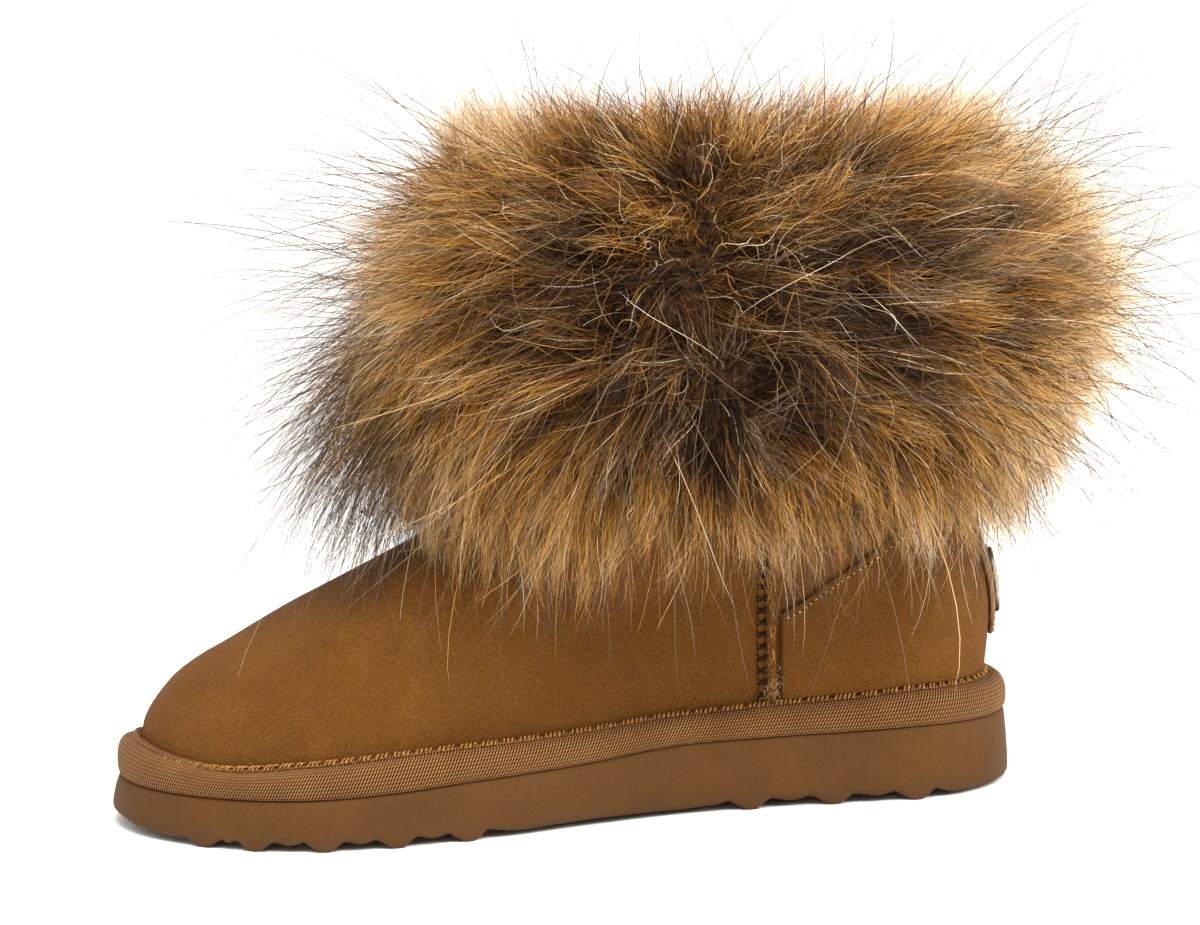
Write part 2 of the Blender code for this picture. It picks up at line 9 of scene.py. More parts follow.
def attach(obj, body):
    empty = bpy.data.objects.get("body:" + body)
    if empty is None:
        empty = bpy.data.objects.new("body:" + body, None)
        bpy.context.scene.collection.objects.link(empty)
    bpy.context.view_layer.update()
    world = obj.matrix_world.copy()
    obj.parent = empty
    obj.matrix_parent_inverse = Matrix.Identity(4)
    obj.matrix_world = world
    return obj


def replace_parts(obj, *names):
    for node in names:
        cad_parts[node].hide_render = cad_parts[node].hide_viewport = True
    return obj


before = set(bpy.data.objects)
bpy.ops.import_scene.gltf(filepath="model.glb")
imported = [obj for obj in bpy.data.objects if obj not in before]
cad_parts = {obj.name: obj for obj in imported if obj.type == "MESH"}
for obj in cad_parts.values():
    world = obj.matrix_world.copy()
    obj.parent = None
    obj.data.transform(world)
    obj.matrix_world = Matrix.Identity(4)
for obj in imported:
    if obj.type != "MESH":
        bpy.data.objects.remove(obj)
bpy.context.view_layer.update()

# Camera: the photograph is taken from the outer side, a little towards the toe and from just
# above the boot, with a long lens.
swing, lift, roll = math.radians(10.1), math.radians(7.4), math.radians(-1.85)
back = Vector((-math.sin(swing) * math.cos(lift), -math.cos(swing) * math.cos(lift), math.sin(lift)))
level_right = (-back).cross(Vector((0, 0, 1))).normalized()
level_up = level_right.cross(-back)
right = level_right * math.cos(roll) + level_up * math.sin(roll)
up = level_up * math.cos(roll) - level_right * math.sin(roll)
camera = bpy.data.objects.new("camera", bpy.data.cameras.new("camera"))
bpy.context.scene.collection.objects.link(camera)
camera.data.sensor_width = 36.0
camera.data.lens = 88.65
camera.location = Vector((-0.0126, 0.0, 0.0971)) + back * 0.850
camera.rotation_mode = "QUATERNION"
camera.rotation_quaternion = Matrix((right, up, back)).transposed().to_quaternion()
camera.data.clip_start, camera.data.clip_end = 0.05, 20.0
bpy.context.scene.camera = camera


def paint(code, alpha=1.0):
    """An sRGB hex colour as linear values."""
    parts = [int(code[i:i + 2], 16) / 255 for i in (1, 3, 5)]
    return (*[c / 12.92 if c <= 0.04045 else ((c + 0.055) / 1.055) ** 2.4 for c in parts], alpha)


def node(tree, kind, inputs=(), **settings):
    """Adds a node with its settings; inputs maps a socket to a value or to the output that feeds it."""
    made = tree.nodes.new(kind)
    for name, value in settings.items():
        setattr(made, name, value)
    for name, value in dict(inputs).items():
        if isinstance(value, bpy.types.NodeSocket):
            tree.links.new(value, made.inputs[name])
        else:
            made.inputs[name].default_value = value
    return made


def ramp(tree, value, stops, smooth="EASE"):
    """A colour ramp over hex colours, (place, colour) each."""
    made = node(tree, "ShaderNodeValToRGB", {0: value})
    made.color_ramp.interpolation = smooth
    points = made.color_ramp.elements
    while len(points) < len(stops):
        points.new(0.5)
    for point, (place, code) in zip(points, stops):
        point.position = place
        point.color = paint(code)
    return made.outputs[0]


def surface(name, rough, ior=1.5, sheen=0.0, sheen_tint="#ffffff", metal=0.0, gloss=0.5):
    """A new material with constant values on its shader; gives its tree and its shader."""
    made = bpy.data.materials.new(name)
    made.use_nodes = True
    shader = made.node_tree.nodes["Principled BSDF"]
    shader.inputs["Roughness"].default_value = rough
    shader.inputs["IOR"].default_value = ior
    shader.inputs["Metallic"].default_value = metal
    shader.inputs["Sheen Weight"].default_value = sheen
    shader.inputs["Sheen Roughness"].default_value = 0.4
    shader.inputs["Specular IOR Level"].default_value = gloss
    shader.inputs["Sheen Tint"].default_value = paint(sheen_tint)
    return made, made.node_tree, shader


# Floor and studio light: a pale floor of painted board, lit by a large soft box overhead, a fill
# from the front and a white room.
floor_paint, tree, shader = surface("matt_painted_board", 0.85)
place = node(tree, "ShaderNodeTexCoord").outputs["Object"]
speck = node(tree, "ShaderNodeTexNoise", {"Vector": place, "Scale": 220.0, "Detail": 3.0}).outputs[0]
tree.links.new(ramp(tree, speck, ((0.3, "#f4f4f3"), (0.7, "#fbfbfa"))), shader.inputs["Base Color"])
mesh = bpy.data.meshes.new("floor")
mesh.from_pydata([(-4, -4, 0), (4, -4, 0), (4, 4, 0), (-4, 4, 0)], [], [(0, 1, 2, 3)])
mesh.materials.append(floor_paint)
floor = bpy.data.objects.new("floor", mesh)
bpy.context.scene.collection.objects.link(floor)

world = bpy.data.worlds.new("white_room")
world.use_nodes = True
world.node_tree.nodes["Background"].inputs[0].default_value = (1.0, 0.995, 0.985, 1.0)
# The room is white overhead and behind, and dim just over the floor on the camera's side.
way = node(world.node_tree, "ShaderNodeSeparateXYZ", {0: node(world.node_tree, "ShaderNodeTexCoord").outputs["Generated"]}).outputs
behind = node(world.node_tree, "ShaderNodeMapRange", {0: way[1], 1: -0.75, 2: -0.05, 3: 0.35, 4: 1.36}).outputs[0]
overhead = node(world.node_tree, "ShaderNodeMapRange", {0: way[2], 1: 0.35, 2: 0.75, 3: 0.35, 4: 1.36}).outputs[0]
floor_edge = node(world.node_tree, "ShaderNodeMapRange", {0: way[2], 1: 0.02, 2: 0.06, 3: 1.36, 4: 0.35}).outputs[0]
upper_part = node(world.node_tree, "ShaderNodeMath", {0: behind, 1: overhead}, operation="MAXIMUM").outputs[0]
strength = node(world.node_tree, "ShaderNodeMath", {0: upper_part, 1: floor_edge}, operation="MAXIMUM").outputs[0]
world.node_tree.links.new(strength, world.node_tree.nodes["Background"].inputs[1])
bpy.context.scene.world = world
# Rows: name, place, width, power, colour.
for name, spot, width, power, tint in (
    ("soft_box", (-0.05, -0.68, 1.12), 0.8, 18.0, "#fffaf2"),
    ("heel_fill", (0.95, -0.70, 0.75), 0.7, 15.0, "#fffdf8"),
    ("rim", (0.1, 1.1, 0.9), 0.8, 3.0, "#ffffff"),
):
    lamp = bpy.data.objects.new(name, bpy.data.lights.new(name, "AREA"))
    lamp.data.size = width
    lamp.data.energy = power
    lamp.data.color = paint(tint)[:3]
    lamp.location = spot
    lamp.rotation_mode = "QUATERNION"
    lamp.rotation_quaternion = (Vector((0, 0, 0.08)) - Vector(spot)).to_track_quat("-Z", "Y")
    bpy.context.scene.collection.objects.link(lamp)
bpy.context.scene.view_settings.view_transform = "Standard"

# Outsole: one moulding of foamed EVA under the whole foot, matt, with its side flared a little and
# waves for lugs cut across its underside.
SOLE_LENGTH = 262.0
BALL_WIDTH = 95.0
LUG_DEPTH = 3.0
# Rows: share of length, outer edge, inner edge, both as shares of the ball width.
OUTLINE = ((0.00, 0.385, 0.380), (0.15, 0.380, 0.378), (0.27, 0.352, 0.352), (0.38, 0.345, 0.345),
           (0.50, 0.395, 0.375), (0.61, 0.458, 0.440), (0.725, 0.487, 0.500), (0.82, 0.505, 0.515),
           (1.00, 0.450, 0.490))
# Rows: station from the heel, top of the sole's side, height of the welt on it, in millimetres.
SIDE = ((0, 20.4, 10.2), (31.4, 21.0, 10.0), (55.0, 20.4, 9.0), (76.0, 20.1, 8.5), (99.6, 19.7, 7.8),
        (136.2, 17.0, 8.4), (162.4, 16.1, 8.9), (183.4, 14.8, 9.5), (209.6, 13.8, 8.8), (233.2, 13.4, 7.2),
        (248.9, 13.3, 8.9), (262.0, 13.6, 11.4))
# Rows: share of the side's height, move towards the inside at the heel, at the toe.
WALL = ((0.0, 0.0, 0.0), (0.25, 0.02, 0.05), (0.60, 0.31, 0.80), (0.92, 0.85, 2.2), (1.0, 1.12, 2.9))
# Rows: station and height of the underside.
LUGS = [(-13, 1.3), (25.9, 1.3)]
for large, small in ((36.0, 48.0), (60.0, 72.0), (84.0, 95.5)):
    LUGS += [(large - 5.4, 3.0), (large - 1.4, 0), (large + 1.4, 0), ((large + small) / 2 + 0.8, 3.0), (small - 0.9, 2.0), (small + 0.9, 2.0)]
LUGS += [(104, 1.6), (128.1, 2.0), (152, 1.6), (155.1, 1.9)]
for large, small in ((166.0, 176.0), (186.0, 196.0), (206.0, 215.5), (225.0, 232.0), (238.5, 0)):
    LUGS += [(large - 5.4, 3.0), (large - 1.4, 0), (large + 1.4, 0)]
    if small:
        LUGS += [((large + small) / 2 + 0.8, 3.0), (small - 0.9, 2.0), (small + 0.9, 2.0)]
LUGS += [(242.1, 1.9), (250.0, 2.0), (256.0, 2.8), (262.0, 4.6), (275.0, 5.0)]


def along(rows, x, col=1):
    """Smooth value of one column of a table at x, held at the ends."""
    xs = [r[0] for r in rows]
    ys = [r[col] for r in rows]
    if x <= xs[0]:
        return ys[0]
    if x >= xs[-1]:
        return ys[-1]
    d = [(ys[i + 1] - ys[i]) / (xs[i + 1] - xs[i]) for i in range(len(xs) - 1)]
    m = [d[0]] + [2 * a * b / (a + b) if a * b > 0 else 0.0 for a, b in zip(d, d[1:])] + [d[-1]]
    i = max(k for k in range(len(xs) - 1) if xs[k] <= x)
    w = xs[i + 1] - xs[i]
    t = (x - xs[i]) / w
    a = ys[i] * (1 + 2 * t) * (1 - t) ** 2 + ys[i + 1] * t * t * (3 - 2 * t)
    return a + w * t * (1 - t) * (m[i] * (1 - t) - m[i + 1] * t)


def arc(x, length, power):
    """Rounding of an end: 0 at the end, 1 once past the arc."""
    return max(1 - min(max(1 - x / length, 0.0), 1.0) ** power, 0.0) ** (1 / power)


def sole_edges(s):
    """Outer and inner edge of the sole's outline at station s."""
    u = s / SOLE_LENGTH
    outer = along(OUTLINE, u, 1) * BALL_WIDTH
    inner = along(OUTLINE, u, 2) * BALL_WIDTH
    close = arc(s, 37.05, 2.1) * arc(SOLE_LENGTH - s, 85.98, 2.15)
    mid = (inner - outer) / 2 * arc(s, 37.05, 2.1) + 9.025 * (max(u - 0.725, 0.0) / 0.275) ** 1.5
    half = (inner + outer) / 2 * close
    return mid - half, mid + half


def closed_loop(edges, low, high, steps=150):
    """Points round a form from its back centre, outer side first."""
    side = [low + (high - low) * (1 - math.cos(math.pi * k / steps)) / 2 for k in range(steps + 1)]
    both = [edges(s) for s in side]
    return np.array([(s, e[0]) for s, e in zip(side, both)] + [(s, e[1]) for s, e in zip(side, both)][-2:0:-1])


def even(loop, count):
    """The same loop with points at even distances."""
    ring = np.vstack([loop, loop[:1]])
    far = np.concatenate([[0.0], np.cumsum(np.hypot(*np.diff(ring, axis=0).T))])
    want = far[-1] * np.arange(count) / count
    return np.stack([np.interp(want, far, ring[:, 0]), np.interp(want, far, ring[:, 1])], axis=1)


def outward(loop):
    """Unit vectors out of a loop."""
    d = np.roll(loop, -1, axis=0) - np.roll(loop, 1, axis=0)
    return np.stack([d[:, 1], -d[:, 0]], axis=1) / np.hypot(d[:, 0], d[:, 1])[:, None]


def moved(loop, heel, toe):
    """The loop moved outwards by millimetres at the heel and at the toe."""
    share = loop[:, 0] / SOLE_LENGTH
    return loop + outward(loop) * (heel * (1 - share) + toe * share)[:, None]


def place_in_frame(points):
    """Stations, sides and heights in millimetres to the frame's metres."""
    points = np.asarray(points, float)
    return np.stack([(106.0 - points[..., 0]), points[..., 1], points[..., 2]], axis=-1) * 0.001


def bands(rings, count, wrap=False, first=0):
    """Quads between rings of count points; wrap joins the last ring to the first."""
    faces = []
    for k in range(rings - (0 if wrap else 1)):
        a, b = first + k * count, first + (k + 1) % rings * count
        faces += [(a + i, a + (i + 1) % count, b + (i + 1) % count, b + i) for i in range(count)]
    return faces


def make(name, verts, faces, finish, smooth=True, uv=None):
    """Mesh object from points in metres, its faces turned outwards; uv gives two numbers a point."""
    mesh = bpy.data.meshes.new(name)
    mesh.from_pydata([tuple(p) for p in np.asarray(verts).reshape(-1, 3)], [], faces)
    bm = bmesh.new()
    bm.from_mesh(mesh)
    bmesh.ops.recalc_face_normals(bm, faces=bm.faces)
    if uv is not None:
        chart = bm.loops.layers.uv.new("chart")
        for face in bm.faces:
            for corner in face.loops:
                corner[chart].uv = uv[corner.vert.index]
    bm.to_mesh(mesh)
    bm.free()
    mesh.polygons.foreach_set("use_smooth", [smooth] * len(mesh.polygons))
    mesh.materials.append(finish)
    made = bpy.data.objects.new(name, mesh)
    bpy.context.scene.collection.objects.link(made)
    return made


# Foamed EVA, compression moulded: closed cells give a dry, matt, faintly speckled face.
foam, tree, shader = surface("moulded_eva_foam", 0.72, 1.48, gloss=0.2)
place = node(tree, "ShaderNodeTexCoord").outputs["Object"]
cloud = node(tree, "ShaderNodeTexNoise", {"Vector": place, "Scale": 38.0, "Detail": 3.0}).outputs[0]
grain = node(tree, "ShaderNodeTexNoise", {"Vector": place, "Scale": 1400.0, "Detail": 2.0}).outputs[0]
low_part = node(tree, "ShaderNodeSeparateXYZ", {0: place}).outputs[2]
scuff = node(tree, "ShaderNodeMapRange", {0: low_part, 1: 0.0, 2: 0.007, 3: 1.0, 4: 0.0}).outputs[0]
base = ramp(tree, cloud, ((0.25, "#4b2f0e"), (0.5, "#523411"), (0.75, "#593913")))
dots = ramp(tree, grain, ((0.25, "#ddd4ca"), (0.6, "#ffffff")))
mixed = node(tree, "ShaderNodeMix", {0: 0.55, 6: base, 7: dots}, data_type="RGBA", blend_type="MULTIPLY").outputs[2]
worn = node(tree, "ShaderNodeMath", {0: scuff, 1: cloud}, operation="MULTIPLY").outputs[0]
final = node(tree, "ShaderNodeMix", {0: worn, 6: mixed, 7: paint("#4a3220")}, data_type="RGBA").outputs[2]
tree.links.new(final, shader.inputs["Base Color"])
bump = node(tree, "ShaderNodeBump", {"Height": grain, "Strength": 0.25, "Distance": 0.0002}).outputs[0]
tree.links.new(bump, shader.inputs["Normal"])

stations = [0.0]
for s in sorted([SOLE_LENGTH * (1 - math.cos(math.pi * k / 90)) / 2 for k in range(1, 90)] + [1.1 * k for k in range(3, 236)]):
    if s - stations[-1] > 0.3 * min(1.0, 0.25 + 0.1 * min(s, SOLE_LENGTH - s)):
        stations.append(s)
stations.append(SOLE_LENGTH)
wave_x = np.arange(-10, 272, 0.1)
wave_z = np.interp(wave_x, *np.array(LUGS).T)
kernel = np.hanning(11) / np.hanning(11).sum()
wave_z = np.convolve(np.pad(wave_z, 5, mode="edge"), kernel, mode="valid")
edge = np.array([(s, sole_edges(s)[0]) for s in stations] + [(s, sole_edges(s)[1]) for s in stations][-2:0:-1])
count = len(edge)
rings = []
for share in (0.0, 0.035, 0.10, 0.25, 0.45, 0.65, 0.82, 0.93, 1.0):
    foot_z = np.interp(edge[:, 0], wave_x, wave_z)
    top_z = np.array([along(SIDE, s) for s in edge[:, 0]])
    z = foot_z + (top_z - foot_z) * share
    part = np.clip((z + 1) / (top_z + 1), 0, 1)
    inset = [(along(WALL, p, 1), along(WALL, p, 2)) for p in part]
    soft = {0.0: 0.5, 0.035: 0.12}.get(share, 0.0) + (0.35 if share == 1.0 else 0.0)
    u = edge[:, 0] / SOLE_LENGTH
    step = np.array([a * (1 - k) + b * k for (a, b), k in zip(inset, u)]) + soft
    ring = edge - outward(edge) * step[:, None]
    rings.append(np.column_stack([ring, z]))
verts = place_in_frame(np.array(rings)).reshape(-1, 3)
faces = bands(len(rings), count)
half = count // 2
for start in (0, (len(rings) - 1) * count):
    faces.append((start, start + 1, start + count - 1))
    faces += [(start + i, start + i + 1, start + count - i - 1, start + count - i) for i in range(1, half - 1)]
    faces.append((start + half - 1, start + half, start + half + 1))
sole = make("sole", verts, faces, foam)
for face in sole.data.polygons:
    face.use_smooth = len(face.vertices) == 4 and abs(face.normal.z) < 0.9
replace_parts(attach(sole, "root"), "outsole")

# Welt: a padded roll on the rim of the sole, wrapped in woven cotton binding tape. It is lasted
# over the edge of the upper and its inner edge is oversewn to the suede.
WELT_INSET = (0.3, 2.3)
WELT_DEPTH = (7.05, 6.25)
# Rows: share of the way from the outside to the upper, share of the welt's height.
ROLL = ((0.10, 0.0), (0.03, 0.08), (0.0, 0.20), (-0.005, 0.36), (0.01, 0.52), (0.06, 0.68), (0.16, 0.82),
        (0.29, 0.90), (0.42, 0.94), (0.54, 0.94), (0.64, 0.90), (0.69, 0.89), (0.75, 0.99), (0.84, 1.05),
        (0.93, 1.04), (1.0, 0.94), (1.0, 0.0))
tape, tree, shader = surface("woven_cotton_tape", 0.9, 1.5, 0.08, "#ffd9ae", gloss=0.25)
# Twill of 0.9 mm, drawn a little coarser than the real thread so that it shows.
chart = node(tree, "ShaderNodeUVMap", uv_map="chart").outputs[0]
split = node(tree, "ShaderNodeSeparateXYZ", {0: chart})
run, rise = split.outputs[0], split.outputs[1]
lean = node(tree, "ShaderNodeMath", {0: rise, 1: 0.55, 2: run}, operation="MULTIPLY_ADD").outputs[0]
warp = node(tree, "ShaderNodeMath", {0: node(tree, "ShaderNodeMath", {0: lean, 1: 2 * math.pi / 0.9}, operation="MULTIPLY").outputs[0]}, operation="SINE").outputs[0]
other = node(tree, "ShaderNodeMath", {0: rise, 1: 2 * math.pi / 0.95}, operation="MULTIPLY").outputs[0]
weft = node(tree, "ShaderNodeMath", {0: other}, operation="SINE").outputs[0]
cross = node(tree, "ShaderNodeMath", {0: weft, 1: 0.35, 2: warp}, operation="MULTIPLY_ADD").outputs[0]
weave = node(tree, "ShaderNodeMapRange", {0: cross, 1: -1.3, 2: 1.2}).outputs[0]
place = node(tree, "ShaderNodeTexCoord").outputs["Object"]
cloud = node(tree, "ShaderNodeTexNoise", {"Vector": place, "Scale": 60.0, "Detail": 4.0}).outputs[0]
fluff = node(tree, "ShaderNodeTexNoise", {"Vector": place, "Scale": 900.0, "Detail": 2.0}).outputs[0]
# The weave's colour runs from near black in the valleys between the threads to tan on their crests: the thread's own
# brown with painted shade in the valleys.
thread = ramp(tree, weave, ((0.0, "#180a02"), (0.38, "#43280f"), (0.62, "#6d461f"), (1.0, "#a97941")))
shade = ramp(tree, cloud, ((0.3, "#d9c8b6"), (0.7, "#ffffff")))
mixed = node(tree, "ShaderNodeMix", {0: 0.6, 6: thread, 7: shade}, data_type="RGBA", blend_type="MULTIPLY").outputs[2]
tree.links.new(mixed, shader.inputs["Base Color"])
height = node(tree, "ShaderNodeMath", {0: fluff, 1: 0.35, 2: weave}, operation="MULTIPLY_ADD").outputs[0]
tree.links.new(node(tree, "ShaderNodeBump", {"Height": height, "Strength": 0.9, "Distance": 0.0003}).outputs[0], shader.inputs["Normal"])

outline = even(closed_loop(sole_edges, 0.0, SOLE_LENGTH), 480)
outline_out = outward(outline)
side_top = np.array([along(SIDE, s) for s in outline[:, 0]])
welt_high = np.array([along(SIDE, s, 2) for s in outline[:, 0]])
toe_share = outline[:, 0] / SOLE_LENGTH
run = np.concatenate([[0.0], np.cumsum(np.hypot(*np.diff(np.vstack([outline, outline[:1]]), axis=0).T))])
rings, chart_at = [], []
rise = 0.0
for k, (depth, share) in enumerate(ROLL):
    heel = WELT_INSET[0] + WELT_DEPTH[0] * depth
    toe = WELT_INSET[1] + WELT_DEPTH[1] * depth
    step = heel * (1 - toe_share) + toe * toe_share
    # The roll is stuffed by hand: it swells and thins a little along its length.
    swell = 0.22 * np.sin(run[:-1] / 9.3 + 1.0) + 0.15 * np.sin(run[:-1] / 4.1)
    full = math.sin(math.pi * min(share, 0.97)) if depth < 0.8 else 0.0
    low = side_top + 0.3
    ring = outline - outline_out * (step - swell * full * (0.4 if depth < 0.3 else 0.1))[:, None]
    z = low + (welt_high - 0.3) * share + (swell * 0.5 if depth < 0.75 and share > 0.9 else 0.0)
    rings.append(np.column_stack([ring, z]))
    if k:
        rise += float(np.hypot(*(rings[-1] - rings[-2])[120, 1:]))
    chart_at.append(rise)
count = 480
verts = [p for ring in rings for p in place_in_frame(ring)]
faces = bands(len(rings), count, wrap=True)
welt = make("welt_tape", verts, faces, tape, uv=[(run[i % count], chart_at[i // count]) for i in range(len(verts))])
# Where the chart closes at the back of the heel, the last column runs on to the full length.
for face in welt.data.polygons:
    corners = [(k, welt.data.loops[k].vertex_index) for k in face.loop_indices]
    if any(v % count == 0 for _, v in corners) and any(v % count == count - 1 for _, v in corners):
        for k, v in corners:
            if v % count == 0:
                welt.data.uv_layers["chart"].data[k].uv.x = run[-1]
    if any(v // count == 0 for _, v in corners) and any(v // count == len(ROLL) - 1 for _, v in corners):
        for k, v in corners:
            if v // count == 0:
                welt.data.uv_layers["chart"].data[k].uv.y = rise + 9.0
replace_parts(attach(welt, "root"), "welt")

# Upper: sheepskin of one piece, its wool side in and its suede side out, 2.6 mm thick here. The
# foot is pulled over a last and the shaft stands straight up under the fur.
UPPER_INSET = (8.0, 9.2)
FOOT_BASE, INSTEP, COLLAR = 24.6, 80.3, 172.0
RISE = INSTEP - FOOT_BASE
# Rows: height, rear station, front station.
PROFILE = ((24.6, 7.99, 252.59), (30.0, 7.60, 251.49), (33.51, 7.21, 249.71), (38.19, 6.81, 246.31),
           (43.48, 6.50, 241.30), (48.33, 6.39, 233.81), (51.22, 6.50, 227.39), (55.40, 6.89, 218.80),
           (61.08, 7.81, 207.40), (69.22, 9.80, 190.00), (76.18, 11.89, 175.59), (80.30, 13.10, 168.39),
           (85.99, 14.59, 161.39), (94.97, 16.51, 155.00), (110.01, 18.00, 150.60), (135.04, 17.79, 148.00),
           (175.67, 15.59, 146.59))
GROWTH = ((0.0, 0.0), (0.15, 0.035), (0.37, 0.08), (0.64, 0.14), (1.0, 0.24), (1.44, 0.34))
RIDGE = tuple((row[2], row[0]) for row in reversed(PROFILE))
foot_loop = moved(outline, -UPPER_INSET[0], -UPPER_INSET[1])
tip = int(np.argmax(foot_loop[:, 0]))
outer_side = foot_loop[:tip + 1]
inner_side = np.vstack([foot_loop[:1], foot_loop[:tip - 1:-1]])
inner_side = inner_side[np.argsort(inner_side[:, 0])]
outer_side = outer_side[np.argsort(outer_side[:, 0])]


def ease(low, high, x):
    """Soft step from 0 at low to 1 at high."""
    t = min(max((x - low) / (high - low), 0.0), 1.0)
    return t * t * (3 - 2 * t)


def upper_edges(s, z):
    """Outer and inner side of the upper at station s and level z."""
    rear, front = along(PROFILE, z, 1), along(PROFILE, z, 2)
    u = s / SOLE_LENGTH
    s0 = s - (rear - foot_loop[0][0]) * (1 - ease(0.08, 0.42, u))
    a = float(np.interp(s0, outer_side[:, 0], outer_side[:, 1]))
    b = float(np.interp(s0, inner_side[:, 0], inner_side[:, 1]))
    high = RIDGE[0][1] + (RIDGE[0][0] - s) * 8 if s < RIDGE[0][0] else along(RIDGE, s)
    t = min(max((z - FOOT_BASE) / max(high - FOOT_BASE, 1e-6), 0.0), 1.0)
    dome = max(1 - t ** 2.35, 0.0) ** (1 / 2.35)
    rise = (z - FOOT_BASE) / RISE
    grow = 1 + along(GROWTH, rise) * (1 - 0.65 * ease(0.46, 0.706, u))
    foot_half = (b - a) / 2 * grow * dome
    foot_mid = (a + b) / 2 + 2.47 * ease(0.42, 0.687, u) * t
    r = min(abs(s - (rear + front) / 2) / ((front - rear) / 2), 1.0)
    widen = 0.94 + 0.06 * ease(0.16, 0.76, (z - INSTEP) / (COLLAR - INSTEP))
    shaft_half = 43.0 * widen * max(1 - r ** 2.2, 0.0) ** (1 / 2.2)
    k = ease(0.60, 1.0 + 0.28 * (COLLAR - INSTEP) / RISE, rise)
    half = foot_half * (1 - k) + shaft_half * k
    mid = foot_mid * (1 - k)
    return mid - half, mid + half


def upper_ring(level, count, off=0.0):
    """Loop round the upper's outside at one level, with its true heights."""
    if level <= PROFILE[0][0]:
        loop = even(foot_loop, count)
    else:
        loop = even(closed_loop(lambda s: upper_edges(s, level), along(PROFILE, level, 1), along(PROFILE, level, 2), 110), count)
    fall = min(max((level - FOOT_BASE) / (0.81 * RISE), 0.0), 1.0)
    z = np.array([level + (along(SIDE, s, 1) + along(SIDE, s, 2) + 0.6 - FOOT_BASE) * (1 - fall) for s in loop[:, 0]])
    if off:
        loop = moved(loop, off, off)
    return np.column_stack([loop, z])


# Sheepskin suede: the flesh side, sanded to a short nap. It scatters light, so it has a soft
# sheen and no gloss, and stroked patches are lighter or darker.
suede, tree, shader = surface("sheepskin_suede", 0.95, 1.45, 0.06, "#e8a060", gloss=0.2)
place = node(tree, "ShaderNodeTexCoord").outputs["Object"]
stroke = node(tree, "ShaderNodeTexNoise", {"Vector": place, "Scale": 22.0, "Detail": 3.0, "Distortion": 0.6}).outputs[0]
patch = node(tree, "ShaderNodeTexNoise", {"Vector": place, "Scale": 130.0, "Detail": 4.0, "Roughness": 0.6}).outputs[0]
nap = node(tree, "ShaderNodeTexNoise", {"Vector": place, "Scale": 2100.0, "Detail": 3.0, "Roughness": 0.8}).outputs[0]
blend = node(tree, "ShaderNodeMath", {0: patch, 1: 0.22, 2: node(tree, "ShaderNodeMath", {0: stroke, 1: 0.78}, operation="MULTIPLY").outputs[0]}, operation="MULTIPLY_ADD").outputs[0]
skin = ramp(tree, blend, ((0.30, "#643f14"), (0.47, "#6c4517"), (0.60, "#754c1b"), (0.75, "#815622")))
fibre = ramp(tree, nap, ((0.36, "#857059"), (0.50, "#d8ccbe"), (0.62, "#ffffff")))
mixed = node(tree, "ShaderNodeMix", {0: 0.70, 6: skin, 7: fibre}, data_type="RGBA", blend_type="MULTIPLY").outputs[2]
tree.links.new(mixed, shader.inputs["Base Color"])
both = node(tree, "ShaderNodeMath", {0: patch, 1: 0.35, 2: nap}, operation="MULTIPLY_ADD").outputs[0]
tree.links.new(node(tree, "ShaderNodeBump", {"Height": both, "Strength": 0.55, "Distance": 0.0007}).outputs[0], shader.inputs["Normal"])

# Sheep wool: the side left on the skin, clipped short, which lines the boot.
wool, tree, shader = surface("sheep_wool_pile", 0.95, 1.5, 0.5, "#fff0d8")
place = node(tree, "ShaderNodeTexCoord").outputs["Object"]
curl = node(tree, "ShaderNodeTexNoise", {"Vector": place, "Scale": 320.0, "Detail": 4.0, "Distortion": 1.6}).outputs[0]
tree.links.new(ramp(tree, curl, ((0.3, "#8f6a40"), (0.5, "#c49a66"), (0.7, "#e3c08c"))), shader.inputs["Base Color"])
tree.links.new(node(tree, "ShaderNodeBump", {"Height": curl, "Strength": 0.8, "Distance": 0.0012}).outputs[0], shader.inputs["Normal"])

ROUND = 200
levels = sorted([24.6, 25.2, 26.4, 28.0] + [30.0 + 2.0 * k for k in range(24)] + [78.5 + 3.5 * k for k in range(27)] + [171.2, 172.0])
outer = [upper_ring(level, ROUND) for level in levels]
foot_ring = even(foot_loop, ROUND)
outer.insert(0, np.column_stack([foot_ring, [along(SIDE, s) + 0.3 for s in foot_ring[:, 0]]]))
outer = np.array(outer)


def outward_of(grid):
    """Unit vectors out of a grid of closed rings that go up."""
    u = np.roll(grid, -1, axis=1) - np.roll(grid, 1, axis=1)
    v = np.gradient(grid, axis=0)
    n = np.cross(u, v)
    return n / np.linalg.norm(n, axis=2)[:, :, None]


normals = outward_of(outer)
# Creases, listed one by one. Rows: station, height, side (-1 outer, 1 inner), length, width, turn in
# degrees from the level towards the toe, depth; a minus depth is a soft ridge.
CREASES = (
    (160, 74, -1, 34, 5.0, 62, 1.0), (150, 66, -1, 30, 6.0, 50, -0.8), (143, 60, -1, 36, 5.5, 38, 0.9),
    (128, 52, -1, 42, 8.0, 18, 0.8), (112, 62, -1, 34, 7.0, -8, 0.7), (96, 48, -1, 30, 7.0, -14, 0.7),
    (176, 58, -1, 30, 9.0, 30, -0.6), (200, 42, -1, 40, 10.0, 12, 0.5), (60, 52, -1, 26, 8.0, 8, 0.5),
    (158, 72, 1, 34, 5.0, 60, 0.9), (146, 62, 1, 34, 6.0, 44, 0.8), (120, 52, 1, 42, 8.0, 14, 0.8),
    (96, 56, 1, 34, 7.0, -12, 0.7), (190, 46, 1, 36, 10.0, 18, 0.5), (222, 38, -1, 26, 9.0, 20, -0.4),
)
shift = np.zeros(outer.shape[:2])
